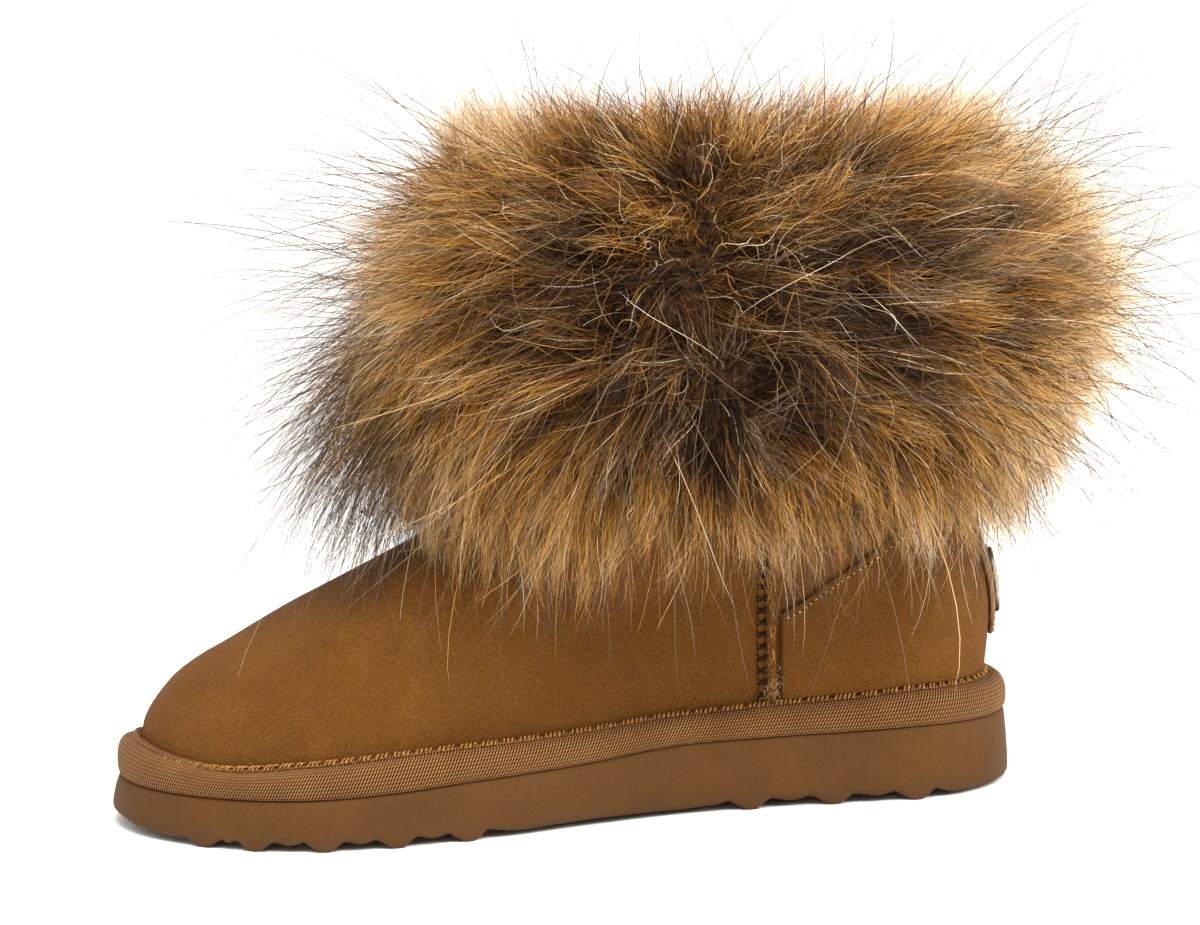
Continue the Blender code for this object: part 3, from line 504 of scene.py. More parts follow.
for station, high, side, length, width, turn, depth in CREASES:
    ds, dz = outer[:, :, 0] - station, outer[:, :, 2] - high
    c, w = math.cos(math.radians(turn)), math.sin(math.radians(turn))
    far = (ds * c - dz * w) / (length / 2)
    across = (ds * w + dz * c) / (width / 2)
    shift -= depth * np.exp(-far ** 2 - across ** 2) * (outer[:, :, 1] * side > 0)
for k in range(outer.shape[0]):
    for i in range(ROUND):
        p = Vector(outer[k, i] / 26.0)
        shift[k, i] += 0.35 * noise.noise(p)
shift *= np.clip((outer[:, :, 2] - outer[1][:, 2] - 1.0) / 5.0, 0, 1)
outer += normals * shift[:, :, None]
inner = outer - outward_of(outer) * 2.6
inner[0, :, 2] = outer[0, :, 2]
inner[0, :, :2] = foot_ring - outward(foot_ring) * 2.6
inner[1:4, :, 2] = outer[1:4, :, 2]
inner[1:4, :, :2] = inner[0, :, :2]
inner[-1, :, 2] = outer[-1, :, 2]
whole = np.concatenate([outer, inner[::-1][[0, 1] + list(range(2, len(inner) - 1, 2)) + [len(inner) - 1]]])
upper = make("suede_upper", place_in_frame(whole).reshape(-1, 3), bands(len(whole), ROUND, wrap=True), suede)
upper.data.materials.append(wool)
for face in upper.data.polygons:
    if len(outer) - 1 <= face.index // ROUND < len(whole) - 1:
        face.material_index = 1
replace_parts(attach(upper, "root"), "upper")

# The suede's outer face as a fine grid, for what is sewn on it.
fine_levels = np.concatenate([np.arange(24.6, 99.0, 1.24)])
skin_grid = np.array([upper_ring(level, 360) for level in fine_levels])
skin_out = outward_of(skin_grid)
ring_step = np.array([np.linalg.norm(np.roll(r, -1, axis=0) - r, axis=1).mean() for r in skin_grid])


def on_skin(level, reach, off=0.0):
    """Point off the suede: reach is millimetres round from the back centre, minus on the outer side."""
    f = min(max((level - 24.6) / 1.24, 0.0), len(fine_levels) - 1.001)
    k = int(f)
    found = 0
    for row, share in ((k, 1 - (f - k)), (k + 1, f - k)):
        c = (-reach / ring_step[row]) % 360
        i, t = int(c), c - int(c)
        j = (i + 1) % 360
        i %= 360
        p = skin_grid[row, i] * (1 - t) + skin_grid[row, j] * t
        n = skin_out[row, i] * (1 - t) + skin_out[row, j] * t
        found = found + (p + n / np.linalg.norm(n) * off) * share
    return found


def reach_of(level, station, side):
    """How far round the suede a station lies; side is -1 outside, 1 inside."""
    row = int(round(min(max((level - 24.6) / 1.24, 0), len(fine_levels) - 1)))
    ring = skin_grid[row] if side < 0 else np.roll(skin_grid[row][::-1], 1, axis=0)
    return side * ring_step[row] * float(np.interp(station, ring[:170, 0], np.arange(170)))


def overlay(name, grid, near, far, finish, rim=0.35):
    """Piece sewn on the suede: grid of (level, reach) points between two offsets, its edge rounded."""
    rows, cols = len(grid), len(grid[0])
    verts = []
    for top in (False, True):
        for r in range(rows):
            for c in range(cols):
                edge = min(r, rows - 1 - r, c, cols - 1 - c)
                off = (far - (rim if edge == 0 else 0.0)) if top else near
                verts.append(on_skin(*grid[r][c], off))
    size = rows * cols
    faces = []
    for r in range(rows - 1):
        for c in range(cols - 1):
            q = (r * cols + c, r * cols + c + 1, (r + 1) * cols + c + 1, (r + 1) * cols + c)
            faces += [q[::-1], tuple(v + size for v in q)]
    rim_line = list(range(cols)) + [r * cols + cols - 1 for r in range(1, rows)]
    rim_line += [(rows - 1) * cols + c for c in range(cols - 2, -1, -1)] + [r * cols for r in range(rows - 2, 0, -1)]
    faces += [(a, b, b + size, a + size) for a, b in zip(rim_line, rim_line[1:] + rim_line[:1])]
    return make(name, place_in_frame(verts), faces, finish)


# Heel counter: a second layer of suede that stiffens the heel, from side seam to side seam. Its
# top edge rises to the back and is lock stitched a few millimetres below the cut.
COUNTER = ((0.0, 0.442), (0.06, 0.480), (0.11, 0.534), (0.17, 0.595), (0.30, 0.717), (0.45, 0.832),
           (0.70, 0.954), (1.0, 1.0))
grid = []
places = [0.0, 0.012] + [k / 30 for k in range(1, 31)]
places = places + [2 - p for p in places[-2::-1]]
for up_share in [0.0, 0.02] + [k / 16 for k in range(1, 16)] + [0.985, 1.0]:
    row = []
    for place in places:
        side = -1 if place < 1 else 1
        share = 1 - abs(place - 1)
        share = 1 - share
        level = 24.9 + 65.1 * along(COUNTER, 1 - share) * up_share
        row.append((level, reach_of(level, 73.0, side) * share))
    grid.append(row)
counter = overlay("heel_counter_suede", grid, 0.45, 1.6, suede)
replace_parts(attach(counter, "root"), "heel_counter")

# Side seams: where the front and heel pieces meet, the edges are rolled outwards over a cord and
# whipped together with heavy thread, from the welt up into the fur.


def grown(name, roots, facts, tree, sizes, finish):
    """What a tree of nodes makes on a cloud of points, as a plain mesh; facts are the points' attributes."""
    cloud = bpy.data.meshes.new(name)
    cloud.from_pydata([tuple(p) for p in roots], [], [])
    for key, values in facts.items():
        values = np.asarray(values, dtype=np.float32)
        vector = values.ndim == 2
        held = cloud.attributes.new(key, "FLOAT_VECTOR" if vector else "FLOAT", "POINT")
        held.data.foreach_set("vector" if vector else "value", values.ravel())
    holder = bpy.data.objects.new(name + "_roots", cloud)
    bpy.context.scene.collection.objects.link(holder)
    growth = holder.modifiers.new("growth", "NODES")
    growth.node_group = tree
    for item in tree.interface.items_tree:
        if item.in_out == "INPUT" and item.name in sizes:
            growth[item.identifier] = sizes[item.name]
        elif item.in_out == "INPUT" and item.name == "Finish":
            growth[item.identifier] = finish
    seen = holder.evaluated_get(bpy.context.evaluated_depsgraph_get())
    mesh = bpy.data.meshes.new_from_object(seen)
    holder.modifiers.remove(growth)
    bpy.data.objects.remove(holder)
    mesh.name = name
    made = bpy.data.objects.new(name, mesh)
    bpy.context.scene.collection.objects.link(made)
    return made


def opened(name, floats):
    """A new tree with a geometry input, number inputs with their values, and a material."""
    tree = bpy.data.node_groups.new(name, "GeometryNodeTree")
    tree.interface.new_socket("Geometry", in_out="INPUT", socket_type="NodeSocketGeometry")
    for key, value in floats.items():
        kind = "NodeSocketInt" if isinstance(value, int) else "NodeSocketFloat"
        tree.interface.new_socket(key, in_out="INPUT", socket_type=kind).default_value = value
    tree.interface.new_socket("Finish", in_out="INPUT", socket_type="NodeSocketMaterial")
    tree.interface.new_socket("Geometry", in_out="OUTPUT", socket_type="NodeSocketGeometry")
    return tree, tree.nodes.new("NodeGroupInput").outputs


# One stitch: a length of thread bent over the leather, both ends going into it. It is placed on
# each point, along its "run" vector and away from the surface along its "face" vector.
stitch_tree, given = opened("stitches", {"Length": 0.0016, "Height": 0.0004, "Thread": 0.0003, "Sides": 4})
half = node(stitch_tree, "ShaderNodeMath", {0: given["Length"], 1: 0.5}, operation="MULTIPLY").outputs[0]
minus = node(stitch_tree, "ShaderNodeMath", {0: half, 1: -1.0}, operation="MULTIPLY").outputs[0]
sunk = node(stitch_tree, "ShaderNodeMath", {0: given["Thread"], 1: -1.3}, operation="MULTIPLY").outputs[0]
high = node(stitch_tree, "ShaderNodeMath", {0: given["Height"], 1: 2.2}, operation="MULTIPLY").outputs[0]
bend = node(stitch_tree, "GeometryNodeCurveQuadraticBezier", {
    "Resolution": 6,
    "Start": node(stitch_tree, "ShaderNodeCombineXYZ", {0: minus, 2: sunk}).outputs[0],
    "Middle": node(stitch_tree, "ShaderNodeCombineXYZ", {2: high}).outputs[0],
    "End": node(stitch_tree, "ShaderNodeCombineXYZ", {0: half, 2: sunk}).outputs[0]}).outputs[0]
ring = node(stitch_tree, "GeometryNodeCurvePrimitiveCircle", {"Resolution": given["Sides"], "Radius": given["Thread"]}).outputs[0]
tube = node(stitch_tree, "GeometryNodeCurveToMesh", {"Curve": bend, "Profile Curve": ring, "Fill Caps": True}).outputs[0]
run_way = node(stitch_tree, "GeometryNodeInputNamedAttribute", {"Name": "run"}, data_type="FLOAT_VECTOR").outputs[0]
face_way = node(stitch_tree, "GeometryNodeInputNamedAttribute", {"Name": "face"}, data_type="FLOAT_VECTOR").outputs[0]
first = node(stitch_tree, "FunctionNodeAlignRotationToVector", {"Vector": run_way}, axis="X").outputs[0]
both = node(stitch_tree, "FunctionNodeAlignRotationToVector", {"Rotation": first, "Vector": face_way}, axis="Z", pivot_axis="X").outputs[0]
scale = node(stitch_tree, "GeometryNodeInputNamedAttribute", {"Name": "size"}, data_type="FLOAT").outputs[0]
laid = node(stitch_tree, "GeometryNodeInstanceOnPoints", {"Points": given["Geometry"], "Instance": tube, "Rotation": both, "Scale": scale}).outputs[0]
real = node(stitch_tree, "GeometryNodeRealizeInstances", {"Geometry": laid}).outputs[0]
round_ = node(stitch_tree, "GeometryNodeSetShadeSmooth", {"Geometry": real}).outputs[0]
done = node(stitch_tree, "GeometryNodeSetMaterial", {"Geometry": round_, "Material": given["Finish"]}).outputs[0]
node(stitch_tree, "NodeGroupOutput", {0: done})


def thread_of(name, codes):
    """Bonded polyester thread: smooth filament, a little glossy, darker in its twist."""
    made, tree, shader = surface(name, 0.7, 1.53, 0.0, gloss=0.1)
    place = node(tree, "ShaderNodeTexCoord").outputs["Object"]
    twist = node(tree, "ShaderNodeTexNoise", {"Vector": place, "Scale": 1500.0, "Detail": 2.0}).outputs[0]
    tree.links.new(ramp(tree, twist, tuple(zip((0.3, 0.5, 0.7), codes))), shader.inputs["Base Color"])
    tree.links.new(node(tree, "ShaderNodeBump", {"Height": twist, "Strength": 0.4, "Distance": 0.0001}).outputs[0], shader.inputs["Normal"])
    return made


golden_thread = thread_of("golden_thread", ("#5a3812", "#96672a", "#c8984e"))
dark_thread = thread_of("dark_thread", ("#150a05", "#27160b", "#462a12"))
cream_thread = thread_of("cream_thread", ("#6d4c28", "#a8814e", "#d8b88a"))


def stitched(name, points, runs, faces, finish, length, height, thread, size=None):
    """A row of stitches at points in millimetres; runs and faces are directions in the boot."""
    turned = lambda ways: np.asarray(ways) * (-1, 1, 1)
    facts = {"run": turned(runs), "face": turned(faces), "size": np.ones(len(points)) if size is None else size}
    made = grown(name, place_in_frame(points), facts, stitch_tree,
                 {"Length": length * 0.001, "Height": height * 0.001, "Thread": thread * 0.001}, finish)
    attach(made, "root")
    return made


rng = np.random.default_rng(11)
for name, side in (("outer", -1), ("inner", 1)):
    node_name = name + "_seam"
    spine = np.linspace(24.9, 96.0, 60)
    # Rows across the roll: share of its width from the toe side, height over the suede.
    lobes = ((-0.50, 0.30), (-0.48, 0.80), (-0.40, 1.00), (-0.30, 0.72), (-0.20, 0.50), (-0.12, 0.55), (-0.04, 1.15),
             (0.06, 1.95), (0.19, 2.38), (0.33, 2.25), (0.44, 1.45), (0.50, 0.30))
    verts = []
    for k, level in enumerate(spine):
        mid = reach_of(level, 77.0, side)
        pucker = 0.10 * math.sin(k * 0.93) + 0.06 * math.sin(k * 2.1)
        for across, over in lobes:
            # The toe side has the greater reach, so it comes first on both sides of the boot.
            reach = mid - side * across * 5.4
            verts.append(on_skin(level, reach, over * (1 + (pucker if over > 0.6 else 0))))
    count = len(lobes)
    faces = bands(len(spine), count)
    faces += [tuple(range(count)), tuple(range(len(verts) - count, len(verts)))]
    seam = make(node_name + "_roll", place_in_frame(verts), faces, suede)
    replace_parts(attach(seam, "root"), node_name)
    # Whipping over the flat roll, every 3.9 mm, and the cord's own long stitches beside it.
    rows, runs, outs = [], [], []
    for level in np.arange(27.5, 90.0, 3.9):
        for lean in (-1, 1):
            mid = reach_of(level, 77.0, side)
            a = on_skin(level - 0.9 * lean, mid + side * 2.6, 0.75)
            b = on_skin(level + 0.9 * lean, mid + side * 0.3, 1.15)
            rows.append((a + b) / 2)
            runs.append(b - a)
            outs.append(on_skin(level, mid + side * 1.2, 3.0) - on_skin(level, mid + side * 1.2, 0.0))
    whip = stitched(name + "_seam_whipping", rows, runs, outs, dark_thread, 3.2, 0.6, 0.46)
    rows, runs, outs, size = [], [], [], []
    for level in np.arange(26.0, 92.0, 2.0):
        mid = reach_of(level, 77.0, side)
        for across, over in ((-0.4, 2.0), (-1.0, 2.38), (-1.7, 2.25)):
            at = across + rng.uniform(-0.25, 0.25)
            rows.append(on_skin(level + rng.uniform(-0.5, 0.5), mid + side * at, over))
            runs.append(on_skin(level + 1.6, mid + side * (at + rng.uniform(-0.35, 0.35)), over) - on_skin(level, mid + side * at, over))
            outs.append(on_skin(level, mid + side * at, 3.0) - on_skin(level, mid + side * at, 0.0))
            size.append(rng.uniform(0.6, 1.15))
    cover = stitched(name + "_seam_cord_thread", rows, runs, outs, golden_thread, 2.5, 0.10, 0.15, size)

# Counter stitching: a lock stitch 2.3 mm below the cut edge, light thread sunk between the needle holes, where short
# dark stitches paint the shade in each hole.
rows, runs, outs = [], [], []
way = []
for k in range(401):
    place = 0.012 + (2 - 0.024) * k / 400
    side = -1 if place < 1 else 1
    share = abs(place - 1)
    level = 24.9 + 65.1 * along(COUNTER, 1 - share) - 2.4
    way.append((level, reach_of(level, 73.0, side) * share))
line = np.array([on_skin(level, reach, 1.55) for level, reach in way])
far = np.concatenate([[0.0], np.cumsum(np.linalg.norm(np.diff(line, axis=0), axis=1))])
for want in np.arange(1.0, far[-1] - 1.0, 1.9):
    k = int(np.searchsorted(far, want)) - 1
    rows.append(line[k])
    runs.append(line[k + 1] - line[k])
    outs.append(on_skin(*way[k], 3.0) - on_skin(*way[k], 0.0))
counter_row = stitched("counter_stitches", rows, runs, outs, cream_thread, 1.05, 0.22, 0.27)
# Short dark stitches at the needle holes: painted shade in the holes.
hole_shade_spots = np.array(rows) + np.array(runs) / np.linalg.norm(runs, axis=1)[:, None] * 0.95
counter_hole_shade = stitched("counter_stitch_hole_shade", hole_shade_spots, runs, outs, dark_thread, 0.95, 0.16, 0.40)

# Welt oversewing: an overlock edge that ties the tape to the suede all round the boot.
rows, runs, outs = [], [], []
inner_heel, inner_toe = WELT_INSET[0] + WELT_DEPTH[0] * 0.86, WELT_INSET[1] + WELT_DEPTH[1] * 0.86
line = moved(outline, -inner_heel, -inner_toe)
ways = outward(line)
steps = np.linalg.norm(np.roll(line, -1, axis=0) - line, axis=1)
far = np.concatenate([[0.0], np.cumsum(steps)])
for number, want in enumerate(np.arange(0.0, far[-1], 1.55)):
    k = int(np.searchsorted(far, want, side="right")) - 1
    k = min(k, 479)
    s, y = line[k]
    z = along(SIDE, s, 1) + along(SIDE, s, 2) * 1.05 + 0.12
    tangent = (line[(k + 1) % 480] - line[k - 1])
    tangent /= np.hypot(*tangent)
    skew = 0.55
    rows.append((s, y, z))
    runs.append((ways[k][0] + tangent[0] * skew, ways[k][1] + tangent[1] * skew, -0.25))
    outs.append((ways[k][0] * 0.35, ways[k][1] * 0.35, 1.0))
edge_thread = thread_of("tan_overlock_thread", ("#5a3816", "#92642e", "#c08a50"))
oversewn = stitched("welt_oversewing", rows, runs, outs, edge_thread, 2.5, 0.46, 0.34)

# Heel label: a shield of smooth leather sewn to the counter with two rows, and a plain steel
# plate riveted on it, left bare.
LABEL = ((0.0, 0.41), (0.05, 0.58), (0.19, 0.68), (0.39, 0.78), (0.62, 0.88), (0.82, 0.95), (1.0, 1.0))
hide, tree, shader = surface("waxed_cow_leather", 0.6, 1.5, 0.1)
place = node(tree, "ShaderNodeTexCoord").outputs["Object"]
pebble = node(tree, "ShaderNodeTexVoronoi", {"Vector": place, "Scale": 900.0}).outputs[0]
tint = node(tree, "ShaderNodeTexNoise", {"Vector": place, "Scale": 170.0, "Detail": 4.0}).outputs[0]
tree.links.new(ramp(tree, tint, ((0.3, "#5c3712"), (0.5, "#6e4519"), (0.7, "#815626"))), shader.inputs["Base Color"])
tree.links.new(node(tree, "ShaderNodeBump", {"Height": pebble, "Strength": 0.4, "Distance": 0.0002}).outputs[0], shader.inputs["Normal"])
grid = []
for k in range(29):
    up_share = k / 28
    grid.append([(36.5 + 39.5 * up_share, along(LABEL, up_share) * 20.5 * (1 - 2 * c / 28)) for c in range(29)])
label = overlay("leather_heel_label", grid, 2.0, 3.3, hide, 0.4)
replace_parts(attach(label, "root"), "heel_label")
rows, runs, outs = [], [], []
for inset in (1.5, 3.2):
    way = []
    for side in (-1, 1):
        part = [(36.5 + inset + (39.5 - inset) * k / 60,
                 side * (along(LABEL, (inset + (39.5 - inset) * k / 60) / 39.5) * 20.5 - inset)) for k in range(61)]
        way += part[::-1] if side < 0 else part
    line = np.array([on_skin(level, reach, 3.3) for level, reach in way])
    far = np.concatenate([[0.0], np.cumsum(np.linalg.norm(np.diff(line, axis=0), axis=1))])
    for want in np.arange(0.8, far[-1], 2.0):
        k = int(np.searchsorted(far, want)) - 1
        rows.append(line[k])
        runs.append(line[k + 1] - line[k])
        outs.append(on_skin(*way[k], 3.0) - on_skin(*way[k], 0.0))
label_rows = stitched("label_stitches", rows, runs, outs, golden_thread, 1.5, 0.2, 0.22)

steel, tree, shader = surface("brushed_steel", 0.32, 1.5, metal=1.0)
place = node(tree, "ShaderNodeTexCoord").outputs["Object"]
stretch = node(tree, "ShaderNodeMapping", {"Vector": place, "Scale": (1.0, 1.0, 14.0)}).outputs[0]
brush = node(tree, "ShaderNodeTexNoise", {"Vector": stretch, "Scale": 500.0, "Detail": 3.0}).outputs[0]
# Its two ends are darker than its middle, fading in from 4.5 to 7.5 mm off the middle.
end_high = node(tree, "ShaderNodeSeparateXYZ", {0: place}).outputs[2]
middle = on_skin(54.0, 0.0, 5.1)[2] / 1000
from_middle = node(tree, "ShaderNodeMath", {0: end_high, 1: middle}, operation="SUBTRACT").outputs[0]
from_middle = node(tree, "ShaderNodeMath", {0: from_middle}, operation="ABSOLUTE").outputs[0]
end_dark_share = node(tree, "ShaderNodeMapRange", {0: from_middle, 1: 0.0045, 2: 0.0075}).outputs[0]
bright = ramp(tree, brush, ((0.3, "#8b867a"), (0.7, "#bdb7a8")))
plate_colour = node(tree, "ShaderNodeMix", {0: end_dark_share, 6: bright, 7: paint("#423e36")}, data_type="RGBA").outputs[2]
tree.links.new(plate_colour, shader.inputs["Base Color"])
tree.links.new(node(tree, "ShaderNodeMapRange", {0: brush, 3: 0.24, 4: 0.42}).outputs[0], shader.inputs["Roughness"])
PLATE = ((0.0, 0.79), (0.035, 0.93), (0.07, 1.0), (0.5, 1.0), (0.93, 1.0), (0.965, 0.93), (1.0, 0.79))
grid = []
for up_share in (0.0, 0.02, 0.05, 0.09, 0.2, 0.35, 0.5, 0.65, 0.8, 0.91, 0.95, 0.98, 1.0):
    grid.append([(43.5 + 21.0 * up_share, along(PLATE, up_share) * 7.0 * c) for c in (1, 0.96, 0.85, 0.6, 0.3, 0, -0.3, -0.6, -0.85, -0.96, -1)])
plate = overlay("bare_steel_plate", grid, 3.65, 5.1, steel, 0.35)
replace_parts(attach(plate, "root"), "heel_plate")

# Insole: a loose bed of wool pile on felt inside the foot.
rings = []
for extra, share in ((0.8, 0.0), (0.2, 0.1), (0.0, 0.3), (0.0, 0.7), (0.4, 0.92), (1.4, 1.0)):
    ring = even(moved(outline, -UPPER_INSET[0] - 3.1 - extra, -UPPER_INSET[1] - 3.1 - extra), 160)
    rings.append(np.column_stack([ring, [along(SIDE, s) + 0.3 + 4.2 * share for s in ring[:, 0]]]))
top = rings[-1]
mid = np.array([(s, (top[i, 1] + top[-i % 160, 1]) / 2, z) for i, (s, _, z) in enumerate(top)])
for share in (0.85, 0.65, 0.4, 0.15):
    ring = mid + (top - mid) * share
    ring[:, 2] += [0.5 * noise.noise(Vector(p) / 5.0) for p in ring]
    rings.append(ring)
faces = bands(len(rings), 160)
start = (len(rings) - 1) * 160
for first in (0, start):
    faces.append((first, first + 1, first + 159))
    faces += [(first + i, first + i + 1, first + 159 - i, first + 160 - i) for i in range(1, 79)]
    faces.append((first + 79, first + 80, first + 81))
bed = make("wool_insole", place_in_frame(np.array(rings)).reshape(-1, 3), faces, wool)
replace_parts(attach(bed, "root"), "insole")

# Fur cuff: a band of raccoon-like pelt sewn round the shaft, hair side out. Dense soft wool
# underneath, longer coat hairs over it, and sparse stiff guard hairs with dark or white tips.
CUFF_LOW, CUFF_HIGH = 86.0, 201.0
# Rows: height over the cuff's foot, depth of the fur behind, before and beside the shaft.
CUFF_OUTER = ((0.0, 10.5, 5.44, 19.98), (8.05, 24.5, 16.32, 26.64), (20.01, 34.5, 25.16, 31.45),
              (34.04, 41.0, 30.6, 35.15), (48.99, 48.0, 34.0, 37.0), (63.02, 50.0, 32.98, 37.0),
              (76.02, 45.5, 28.56, 35.15), (89.01, 33.5, 21.42, 29.97), (100.05, 18.5, 13.26, 22.94),
              (107.99, 7.5, 7.48, 15.54))
# The pelt itself lies deeper than the coat that grows out of it.
PELT_DEPTH, PELT_FOOT, PELT_RISE = 0.80, 4.0, 0.86
CUFF_INNER = ((0.865, 5.0), (0.810, 1.8), (0.740, 1.15), (0.470, 1.15), (0.174, 1.15), (0.109, 3.4), (0.017, 8.0))
AROUND = 120


def cuff_ring(high):
    """Outline of the cuff's body at a height over its foot."""
    behind, before, beside = (PELT_DEPTH * along(CUFF_OUTER, high, c) for c in (1, 2, 3))
    level = min(CUFF_LOW + high, COLLAR)
    rear, front = along(PROFILE, level, 1) - behind, along(PROFILE, level, 2) + before

    def edges(s):
        r = min(abs(s - (rear + front) / 2) / ((front - rear) / 2), 1.0)
        half = (43.0 + beside) * max(1 - r ** 2.25, 0.0) ** (1 / 2.25)
        return -half, half

    loop = even(closed_loop(edges, rear, front), AROUND)
    return np.column_stack([loop, np.full(AROUND, CUFF_LOW + PELT_FOOT + PELT_RISE * high)])


body = [cuff_ring(high) for high in np.linspace(0.0, 107.99, 25)]
band_rows = []
for share, off in CUFF_INNER:
    level = CUFF_LOW + share * 115.0
    ring = upper_ring(min(level, COLLAR), AROUND, off)
    ring[:, 2] = level
    band_rows.append(ring)
crest = (body[-1] + band_rows[0]) / 2
crest[:, 2] = CUFF_HIGH - 13.0
body = np.array(body + [crest] + band_rows)
out_of = outward_of(np.concatenate([body[-1:], body, body[:1]]))[1:-1]
lumps = np.array([[noise.noise(Vector(p) / 13.0) for p in ring] for ring in body])
pelt_shape = body + out_of * (lumps * 2.0 - 1.0)[:, :, None] * np.array([0.0 if k > 26 else 1.0 for k in range(len(body))])[:, None, None]
# The pelt is dark brown: partly its own colour, partly painted shade where it shows between the locks.
pelt, tree, shader = surface("dark_underwool_and_painted_shade", 0.95, 1.5, 0.2, "#c89860")
place = node(tree, "ShaderNodeTexCoord").outputs["Object"]
wisps = node(tree, "ShaderNodeTexNoise", {"Vector": place, "Scale": 260.0, "Detail": 5.0, "Distortion": 1.2}).outputs[0]
tree.links.new(ramp(tree, wisps, ((0.3, "#2a190d"), (0.5, "#4a2f18"), (0.7, "#7a5430"))), shader.inputs["Base Color"])
tree.links.new(node(tree, "ShaderNodeBump", {"Height": wisps, "Strength": 0.9, "Distance": 0.003}).outputs[0], shader.inputs["Normal"])
cuff = make("fur_cuff_pelt", place_in_frame(pelt_shape).reshape(-1, 3), bands(len(body), AROUND, wrap=True), pelt)
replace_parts(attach(cuff, "root"), "fur_cuff")

# One hair: a strip of a few faces along a curve of four points. Each root point holds where the
# curve goes ("rise", "reach", "tip"), which way its flat side looks ("face"), its width, its phase
# and its place on the chart of hair colours ("tone").
hair_tree, given = opened("hairs", {"Steps": 5, "Taper": 1.6, "Wave": 0.0006, "Turns": 1.5})
upright = node(hair_tree, "ShaderNodeMath", {0: given["Steps"], 1: 1.0}, operation="ADD").outputs[0]
strip = node(hair_tree, "GeometryNodeMeshGrid", {"Size X": 2.0, "Size Y": 1.0, "Vertices X": 2, "Vertices Y": upright}).outputs[0]
spot = node(hair_tree, "ShaderNodeSeparateXYZ", {0: node(hair_tree, "GeometryNodeInputPosition").outputs[0]}).outputs
share = node(hair_tree, "ShaderNodeMath", {0: spot[1], 1: 0.5}, operation="ADD").outputs[0]
strip = node(hair_tree, "GeometryNodeStoreNamedAttribute", {"Geometry": strip, "Name": "across", "Value": spot[0]}, data_type="FLOAT").outputs[0]
strip = node(hair_tree, "GeometryNodeStoreNamedAttribute", {"Geometry": strip, "Name": "along", "Value": share}, data_type="FLOAT").outputs[0]
roots = node(hair_tree, "GeometryNodeStoreNamedAttribute", {
    "Geometry": given["Geometry"], "Name": "root", "Value": node(hair_tree, "GeometryNodeInputPosition").outputs[0]}, data_type="FLOAT_VECTOR").outputs[0]
laid = node(hair_tree, "GeometryNodeInstanceOnPoints", {"Points": roots, "Instance": strip}).outputs[0]
real = node(hair_tree, "GeometryNodeRealizeInstances", {"Geometry": laid}).outputs[0]
root, rise, reach, tip, face = (node(hair_tree, "GeometryNodeInputNamedAttribute", {"Name": key}, data_type="FLOAT_VECTOR").outputs[0]
                                for key in ("root", "rise", "reach", "tip", "face"))
t, across, width, phase, tone = (node(hair_tree, "GeometryNodeInputNamedAttribute", {"Name": key}, data_type="FLOAT").outputs[0]
                                 for key in ("along", "across", "width", "phase", "tone"))
pairs = [(None, rise), (rise, reach), (reach, tip)]
while len(pairs) > 1:
    mixes = [node(hair_tree, "ShaderNodeMix", {0: t, **({4: a} if a else {}), 5: b}, data_type="VECTOR").outputs[1] for a, b in pairs]
    pairs = list(zip(mixes, mixes[1:]))
low_mix, high_mix = pairs[0]
curve = node(hair_tree, "ShaderNodeMix", {0: t, 4: low_mix, 5: high_mix}, data_type="VECTOR").outputs[1]
heading = node(hair_tree, "ShaderNodeVectorMath", {0: high_mix, 1: low_mix}, operation="SUBTRACT").outputs[0]
crossed = node(hair_tree, "ShaderNodeVectorMath", {0: heading, 1: face}, operation="CROSS_PRODUCT").outputs[0]
sideways = node(hair_tree, "ShaderNodeVectorMath", {0: crossed}, operation="NORMALIZE").outputs[0]
thin = node(hair_tree, "ShaderNodeMath", {0: t, 1: given["Taper"]}, operation="POWER").outputs[0]
left = node(hair_tree, "ShaderNodeMath", {0: 1.04, 1: thin}, operation="SUBTRACT").outputs[0]
wide = node(hair_tree, "ShaderNodeMath", {0: node(hair_tree, "ShaderNodeMath", {0: left, 1: width}, operation="MULTIPLY").outputs[0], 1: across}, operation="MULTIPLY").outputs[0]
turns = node(hair_tree, "ShaderNodeMath", {0: t, 1: node(hair_tree, "ShaderNodeMath", {0: given["Turns"], 1: 6.2832}, operation="MULTIPLY").outputs[0], 2: phase}, operation="MULTIPLY_ADD").outputs[0]
swing_by = node(hair_tree, "ShaderNodeMath", {0: given["Wave"], 1: t}, operation="MULTIPLY").outputs[0]
swing_a = node(hair_tree, "ShaderNodeMath", {0: node(hair_tree, "ShaderNodeMath", {0: turns}, operation="SINE").outputs[0], 1: swing_by, 2: wide}, operation="MULTIPLY_ADD").outputs[0]
swing_b = node(hair_tree, "ShaderNodeMath", {0: node(hair_tree, "ShaderNodeMath", {0: turns}, operation="COSINE").outputs[0], 1: swing_by}, operation="MULTIPLY").outputs[0]
aside = node(hair_tree, "ShaderNodeVectorMath", {0: sideways, "Scale": swing_a}, operation="SCALE").outputs[0]
outer_swing = node(hair_tree, "ShaderNodeVectorMath", {0: face, "Scale": swing_b}, operation="SCALE").outputs[0]
total = node(hair_tree, "ShaderNodeVectorMath", {0: curve, 1: root}, operation="ADD").outputs[0]
total = node(hair_tree, "ShaderNodeVectorMath", {0: total, 1: aside}, operation="ADD").outputs[0]
total = node(hair_tree, "ShaderNodeVectorMath", {0: total, 1: outer_swing}, operation="ADD").outputs[0]
moved_strip = node(hair_tree, "GeometryNodeSetPosition", {"Geometry": real, "Position": total}).outputs[0]
on_chart = node(hair_tree, "ShaderNodeCombineXYZ", {0: tone, 1: t}).outputs[0]
chart_strip = node(hair_tree, "GeometryNodeStoreNamedAttribute", {"Geometry": moved_strip, "Name": "OFBake", "Value": on_chart}, data_type="FLOAT2", domain="CORNER").outputs[0]
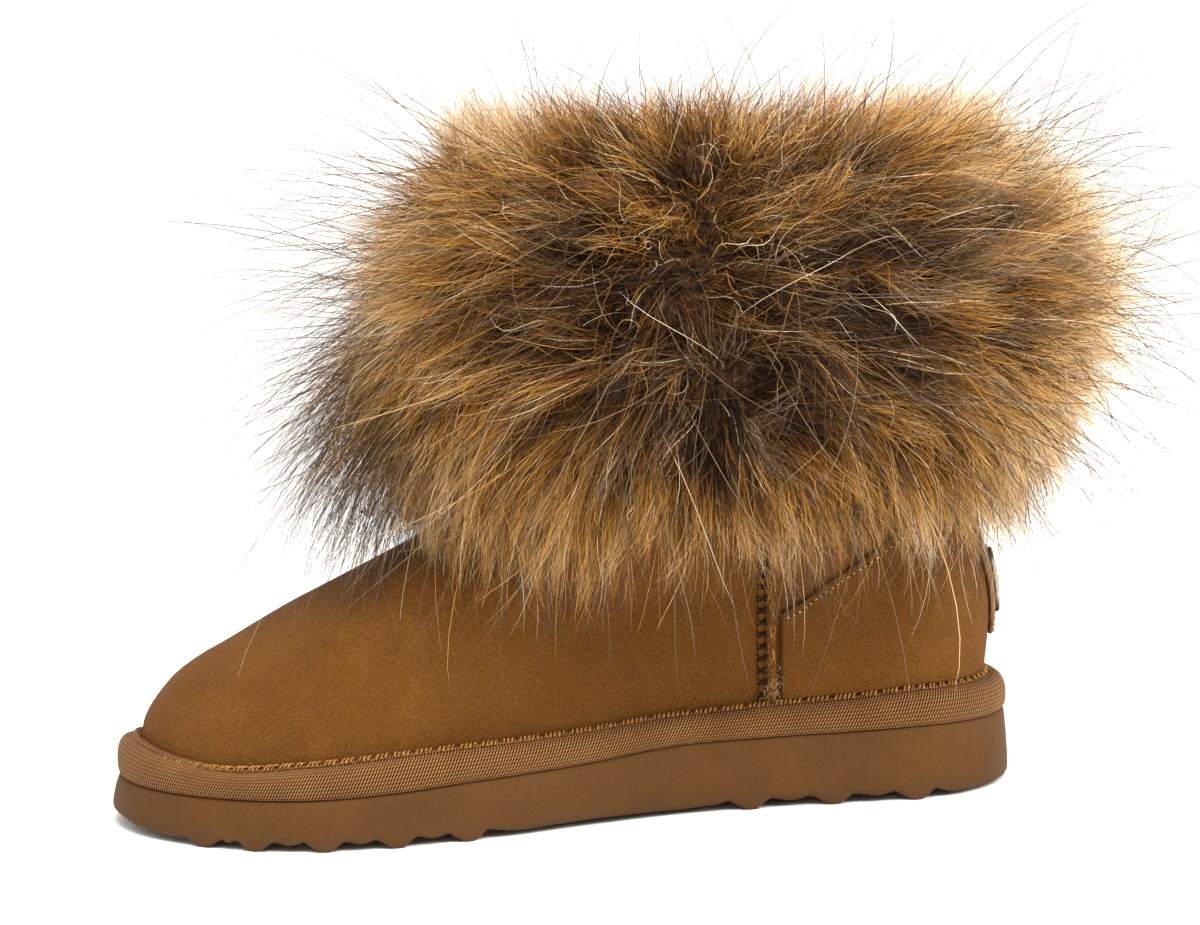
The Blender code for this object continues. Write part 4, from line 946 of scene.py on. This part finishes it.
round_ = node(hair_tree, "GeometryNodeSetShadeSmooth", {"Geometry": chart_strip}).outputs[0]
done = node(hair_tree, "GeometryNodeSetMaterial", {"Geometry": round_, "Material": given["Finish"]}).outputs[0]
node(hair_tree, "NodeGroupOutput", {0: done})

# Hair: keratin with a cuticle, so it has a soft gloss. The chart runs across the kinds of hair
# and from the root (below) to the tip (above). Kinds: dark, chestnut, orange gold, tan, cream,
# mauve grey, black tipped, white.
KINDS = ("dark", "chestnut", "gold", "tan", "cream", "mauve", "black_tip", "white")
# Every kind but the black tipped runs darker at the root and lighter at the tip: partly the hair's own colour, partly
# painted glow of light through the thin tips and a painted glint on the gold kind's bright tips.
ROOTS = ("#140a05", "#221306", "#301d09", "#44300f", "#7a5a2c", "#35261a", "#4a3112", "#a08050")
MIDDLES = ("#20120a", "#5c3812", "#945f1c", "#a2773a", "#cfae80", "#68503a", "#4c3218", "#dcc498")
TIPS = ("#392510", "#906026", "#dca448", "#dcb680", "#f6e9d0", "#9a8268", "#100b08", "#fffaee")
hair_finish, tree, shader = surface("animal_hair", 0.5, 1.55, 0.0, gloss=0.1)
chart = node(tree, "ShaderNodeSeparateXYZ", {0: node(tree, "ShaderNodeUVMap", uv_map="OFBake").outputs[0]}).outputs
kinds = [ramp(tree, chart[0], [((k + 0.5) / 8, code) for k, code in enumerate(codes)], "LINEAR") for codes in (ROOTS, MIDDLES, TIPS)]
first = node(tree, "ShaderNodeMapRange", {0: chart[1], 1: 0.05, 2: 0.5}).outputs[0]
second = node(tree, "ShaderNodeMapRange", {0: chart[1], 1: 0.55, 2: 0.92}).outputs[0]
lower = node(tree, "ShaderNodeMix", {0: first, 6: kinds[0], 7: kinds[1]}, data_type="RGBA").outputs[2]
colour = node(tree, "ShaderNodeMix", {0: second, 6: lower, 7: kinds[2]}, data_type="RGBA").outputs[2]
tree.links.new(colour, shader.inputs["Base Color"])

# Where roots lie: the outside of the pelt and the crest, by area, from a fixed seed.
OUTER_ROWS = 27
corner = pelt_shape[:OUTER_ROWS + 1]
across_a = np.roll(corner, -1, axis=1)
patch_area = np.linalg.norm(np.cross((across_a - corner)[:-1], (corner[1:] - corner[:-1])), axis=2)


def sown(number, seed, weight=None):
    """Root points on the pelt with the pelt's outward directions, in millimetres in the boot."""
    pick = np.random.default_rng(seed)
    chance = patch_area.copy() if weight is None else patch_area * weight
    cell = pick.choice(chance.size, number, p=(chance / chance.sum()).ravel())
    r, c = np.unravel_index(cell, chance.shape)
    u, v = pick.random(number)[:, None], pick.random(number)[:, None]
    d = (c + 1) % AROUND
    spots = [(pelt_shape[r, c] * (1 - u) + pelt_shape[r, d] * u) * (1 - v) + (pelt_shape[r + 1, c] * (1 - u) + pelt_shape[r + 1, d] * u) * v]
    ways = (out_of[r, c] * (1 - u) + out_of[r, d] * u) * (1 - v) + (out_of[r + 1, c] * (1 - u) + out_of[r + 1, d] * u) * v
    return spots[0], ways / np.linalg.norm(ways, axis=1)[:, None], (r + v[:, 0]) / OUTER_ROWS


# The lie of the hair: it parts at a dark centre at half the cuff's height and runs
# out from there, down at the toe side, level at the heel side, up at the crest.
PART_S, PART_Z = 100.0, 134.0


def unit(ways):
    return ways / np.maximum(np.linalg.norm(ways, axis=1), 1e-9)[:, None]


def lie(spots, ways):
    """Direction in which the hair lies at each root, along the pelt."""
    s, y, z = spots.T
    side = (s - PART_S) / (np.abs(s - PART_S) + 16)
    below, above = np.clip((PART_Z - z) / 30, 0, 1.3), np.clip((z - PART_Z) / 45, 0, 1)
    flow = np.column_stack([side * (1 - 0.45 * below), 0 * y, 0.30 * above - 0.95 * below])
    # The toe side is combed down, the heel side nearly level.
    flow[:, 2] -= (0.50 - 0.35 * above) * np.clip((s - PART_S) / 40, 0, 1)
    flow[:, 2] -= 0.12 * np.clip((PART_S - s) / 40, 0, 1)
    # On the crest the hair stands and leans out over the edge.
    flow[:, 2] += 0.75 * np.clip((z - 172) / 14, 0, 1)
    swirl = np.array([noise.noise_vector(Vector(p) / 24.0) for p in spots])
    mess = np.exp(-((s - PART_S) / 34) ** 2 - ((z - PART_Z - 12) / 34) ** 2)
    flow += swirl * (0.30 + 0.8 * mess)[:, None]
    return flow - ways * (flow * ways).sum(axis=1)[:, None] * 0.8


def bump_at(s, z, s0, z0, ws, wz):
    """Soft spot round a place seen from the side."""
    return np.exp(-((s - s0) / ws) ** 2 - ((z - z0) / wz) ** 2)


# How light the coat is, charted place by place. Rows: station, height, lightness from dark brown to cream.
# The cream rows at the heel end, the toe end and the crest make the fur's edge pale: partly the wool's own pale tips,
# partly painted glow of light through the thin wool there.
PATCHES = (
    (107, 141, -0.18), (130, 144, 0.0), (84, 135, -0.15), (96, 165, 0.22), (119, 172, 0.08), (70, 168, 0.20),
    (167, 129, 0.44), (187, 148, 1.1), (190, 122, 0.9), (153, 172, 0.52), (165, 184, 1.0), (130, 196, 0.70), (147, 198, 1.25),
    (104, 193, 0.48), (73, 193, 0.52), (47, 187, 0.58), (18, 190, 0.98), (-8, 175, 1.5), (47, 155, 0.20),
    (15, 155, 0.40), (-21, 149, 1.7), (-24, 126, 1.3), (32, 132, 0.36), (4, 115, 0.80), (-10, 109, 1.1), (153, 104, 0.44),
    (176, 104, 0.60), (119, 109, 0.40), (130, 86, 0.62), (90, 92, 0.66), (55, 109, 0.42), (44, 92, 0.66),
    (24, 95, 0.84), (100, 118, -0.05), (60, 122, 0.14),
)


def tone_at(spots, pick, lock, dark_tips=0.0, white=0.0, blur=0.07, cloud=0.30, shade=0.0):
    """Place on the chart of hair colours for each hair, from the listed patches and soft clouds."""
    s, y, z = spots.T
    weights = np.array([bump_at(s, z, row[0], row[1], 17, 15) for row in PATCHES]) + 1e-9
    light = (weights * np.array(PATCHES)[:, 2:]).sum(axis=0) / weights.sum(axis=0)
    clouds = np.array([noise.noise(Vector(p) / 11.0) + 0.5 * noise.noise(Vector(p) / 4.5) for p in spots])
    light = np.clip(light + cloud * clouds + lock + pick.normal(0, blur, len(s)) - shade, 0, 1)
    tone = 0.0625 + 0.5 * light
    drift = np.array([noise.noise(Vector(p) / 9.0 + Vector((40, 0, 0))) for p in spots]) + 0.5
    mauve = 0.9 * bump_at(s, z, 73, 194, 17, 13) + 0.45 * bump_at(s, z, 22, 158, 36, 26)
    tone = np.where(drift < mauve, (5.5 + pick.uniform(-0.25, 0.25, len(s))) / 8, tone)
    roll = pick.random(len(s))
    # Over the instep most of the coat ends black too, and so do the stiff hairs behind the heel.
    stiff = 0.3 if dark_tips > 0.5 else 0.0
    dark_tips = dark_tips + 0.42 * bump_at(s, z, 194, 120, 13, 24) + stiff * bump_at(s, z, -5, 106, 26, 24)
    tone = np.where(roll < dark_tips, (6.5 + pick.uniform(-0.2, 0.2, len(s))) / 8, tone)
    white = white + 0.10 * bump_at(s, z, 80, 196, 14, 10)
    return np.where(roll > 1 - white, (7.5 + pick.uniform(-0.3, 0.3, len(s))) / 8, tone)


tuft_spots, tuft_ways, _ = sown(2600, 3)
tuft_flow = lie(tuft_spots, tuft_ways)
tuft_pick = np.random.default_rng(5)
tuft_stand = tuft_pick.uniform(0.8, 1.2, 2600)
tuft_lean = tuft_pick.normal(0, 0.18, (2600, 3))
tuft_tone = tuft_pick.normal(0, 0.13, 2600)
ROOM_LOW = np.array([-68.4, -106.3, 20.0])
ROOM_HIGH = np.array([279.0, 106.3, 230.8])


row_s, row_z = pelt_shape[:OUTER_ROWS, :, 0], pelt_shape[:OUTER_ROWS, :, 2]
hem = np.clip((112 - row_z) / 12, 0, 1)


def coat(name, number, seed, length, stand, width, sizes, gather, weight=None, spread=0.18, sag=0.10, pull=(0, 0, 0), crop=0.15, **tones):
    """A coat of hair: so many hairs, their length and how far they stand off, in millimetres, and how far each gathers to its tuft."""
    pick = np.random.default_rng(seed)
    spots, ways, _ = sown(number, seed + 1, weight)
    nearest = np.empty(number, int)
    for start in range(0, number, 4000):
        gap = ((spots[start:start + 4000, None, :] - tuft_spots[None]) ** 2).sum(axis=2)
        nearest[start:start + 4000] = gap.argmin(axis=1)
    flow = lie(spots, ways) + tuft_lean[nearest] * 1.2 + pick.normal(0, spread, (number, 3)) + np.array(pull)
    size = length * tuft_stand[nearest] * pick.uniform(0.62, 1.22, number) * (1 - (0.0 if weight is hem else 0.20) * np.clip((25 - spots[:, 0]) / 40, 0, 1))
    size *= 1 - (0.0 if weight is hem else 0.36 + 0.20 * np.clip((92 - spots[:, 0]) / 30, 0, 1)) * np.clip((112 - spots[:, 2]) / 15, 0, 1) - crop * np.clip((spots[:, 2] - 160) / 14, 0, 1)
    lift_by = stand * tuft_stand[nearest] * np.clip(pick.normal(1.0, 0.22, number), 0.4, 1.7)
    flat = np.minimum(np.linalg.norm(flow, axis=1), 1.15)
    flow = unit(flow) * (size * flat)[:, None]
    tip = ways * lift_by[:, None] + flow
    tip[:, 2] -= sag * size
    tuft_tip = tuft_spots[nearest] + tuft_ways[nearest] * stand + unit(tuft_flow[nearest] + tuft_lean[nearest] * 1.2) * (length * 0.92) - spots
    # Locks are clearest in the middle and below; the crest and the heel side are brushed soft.
    close = gather * (1 - 0.6 * np.clip(np.maximum((spots[:, 2] - 162) / 14, (14 - spots[:, 0]) / 20), 0, 1))[:, None]
    tip = tip * (1 - close) + tuft_tip * close
    rise = ways * (lift_by * 0.75)[:, None] + flow * 0.12
    reach = tip * 0.62 + ways * (lift_by * 0.55)[:, None]
    spare = sizes["Wave"] * 1000 + 0.3
    tip = np.clip(spots + tip, ROOM_LOW + spare, ROOM_HIGH - spare) - spots
    reach = np.clip(spots + reach, ROOM_LOW + spare + 1, ROOM_HIGH - spare - 1) - spots
    turned = np.array((-0.001, 0.001, 0.001))
    looks = unit(ways + pick.normal(0, 0.45, (number, 3))) * (-1, 1, 1)
    facts = {"rise": rise * turned, "reach": reach * turned, "tip": tip * turned, "face": looks,
             "width": width * 0.0005 * np.clip(pick.normal(1, 0.2, number), 0.5, 1.6), "phase": pick.uniform(0, 6.28, number),
             "tone": tone_at(spots, pick, tuft_tone[nearest], **tones)}
    made = grown(name, place_in_frame(spots), facts, hair_tree, sizes, hair_finish)
    for key in ("rise", "reach", "tip", "face", "width", "phase", "tone", "along", "across", "root"):
        if key in made.data.attributes:
            made.data.attributes.remove(made.data.attributes[key])
    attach(made, "root")
    return made


# The underwool is set darker than the coat over it: painted shade in the gaps between the locks.
coat("fur_underwool", 21500, 21, 13.0, 8.0, 0.34, {"Steps": 4, "Taper": 1.8, "Wave": 0.0012, "Turns": 1.3}, 0.15, spread=0.4, shade=0.08, crop=-0.2)
coat("fur_coat_a", 18500, 31, 23.0, 8.0, 0.20, {"Steps": 5, "Taper": 1.4, "Wave": 0.0012, "Turns": 0.8}, 0.40, white=0.01, blur=0.12)
coat("fur_coat_b", 18500, 41, 26.0, 9.0, 0.18, {"Steps": 5, "Taper": 1.4, "Wave": 0.0012, "Turns": 0.7}, 0.72, white=0.02, cloud=0.4, blur=0.16, crop=0.24)
coat("fur_long_coat", 11000, 51, 30.0, 9.5, 0.21, {"Steps": 7, "Taper": 1.2, "Wave": 0.0027, "Turns": 0.7}, 0.55, white=0.03, dark_tips=0.05,
     cloud=0.4, blur=0.26, shade=-0.03, crop=0.32)
# Guard hairs all over but on the rim of the collar, and fewer at the foot, where the hem's own hang.
coat("fur_guard_hair", 3400, 61, 50.0, 21.0, 0.20, {"Steps": 8, "Taper": 2.6, "Wave": 0.0050, "Turns": 0.5}, 0.0,
     weight=np.clip((row_z - 84) / 34, 0.15, 1) * (np.arange(OUTER_ROWS) < 24)[:, None], spread=0.55, sag=0.14, dark_tips=0.74, white=0.01, blur=0.22, shade=0.12, crop=0.0)
# The clump over the instep has long hairs that end black, and thin dark hairs hang from the lower
# edge over the suede. Some hair above the parting has matted into golden curls.
front = np.clip((row_s - 165) / 20, 0, 1) * np.clip((150 - row_z) / 20, 0, 1)
mats = bump_at(row_s, row_z, 95, 163, 32, 18) + 0.6 * bump_at(row_s, row_z, 104, 138, 30, 16)
coat("fur_black_tipped_lock", 1700, 71, 42.0, 17.0, 0.18, {"Steps": 7, "Taper": 2.2, "Wave": 0.0030, "Turns": 0.6}, 0.10, weight=front,
     spread=0.50, sag=0.36, pull=(0.40, 0, -0.4), dark_tips=0.96)
coat("fur_hem_hair", 2400, 81, 25.0, 7.0, 0.17, {"Steps": 7, "Taper": 1.8, "Wave": 0.0030, "Turns": 0.6}, 0.15, weight=hem,
     spread=0.40, sag=0.30, pull=(0, 0, -0.4), dark_tips=0.72, white=0.01, blur=0.3)
coat("fur_matted_curls", 1200, 91, 19.0, 9.0, 0.25, {"Steps": 9, "Taper": 1.6, "Wave": 0.0036, "Turns": 1.1}, 0.3, weight=mats,
     spread=0.7, sag=0.0, white=0.06, blur=0.3, shade=-0.10)

# Lining pile: the wool of the sheepskin, short thick curls on the inside of the shaft, and the
# pale fibres that fray out of the outer seam's end above the tape.
def tufted(name, spots, ways, length, mess, width, sizes, finish, seed):
    """Short curly fibres at the given places, in millimetres in the boot."""
    pick = np.random.default_rng(seed)
    number = len(spots)
    tip = ways * length + pick.normal(0, mess, (number, 3))
    turned = np.array((-0.001, 0.001, 0.001))
    facts = {"rise": ways * length * 0.5 * turned, "reach": (ways * length + tip) * 0.5 * turned, "tip": tip * turned,
             "face": unit(ways + pick.normal(0, 0.6, (number, 3))) * (-1, 1, 1), "width": pick.uniform(0.7, 1.2, number) * width * 0.0005,
             "phase": pick.uniform(0, 6.28, number), "tone": pick.uniform(0.45, 0.72, number)}
    made = grown(name, place_in_frame(spots), facts, hair_tree, sizes, finish)
    for key in ("rise", "reach", "tip", "face", "width", "phase", "tone", "along", "across", "root"):
        if key in made.data.attributes:
            made.data.attributes.remove(made.data.attributes[key])
    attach(made, "root")
    return made


pick = np.random.default_rng(101)
lowest = next(k for k in range(len(inner)) if inner[k, 0, 2] > 112)
row, col = pick.integers(lowest, len(inner) - 1, 2000), pick.integers(0, ROUND, 2000)
u, v = pick.random((2000, 1)), pick.random((2000, 1))
beside = (col + 1) % ROUND
spots = (inner[row, col] * (1 - u) + inner[row, beside] * u) * (1 - v) + (inner[row + 1, col] * (1 - u) + inner[row + 1, beside] * u) * v
tufted("wool_lining_pile", spots, -normals[row, col], 4.5, 2.0, 1.1, {"Steps": 5, "Taper": 2.2, "Wave": 0.0022, "Turns": 1.4}, wool, 103)
foot = upper_ring(31.0, 360)
near = foot[np.argmin((foot[:, 0] - 76.0) ** 2 + (foot[:, 1] > 0) * 1e6)]
spots = near + pick.normal(0, 1, (110, 3)) * (1.0, 0.2, 3.2)
tufted("seam_frayed_end", spots, np.tile((0.0, -1.0, -0.2), (110, 1)), 1.6, 1.5, 0.20, {"Steps": 4, "Taper": 2.0, "Wave": 0.0010, "Turns": 1.0},
       hair_finish, 107)

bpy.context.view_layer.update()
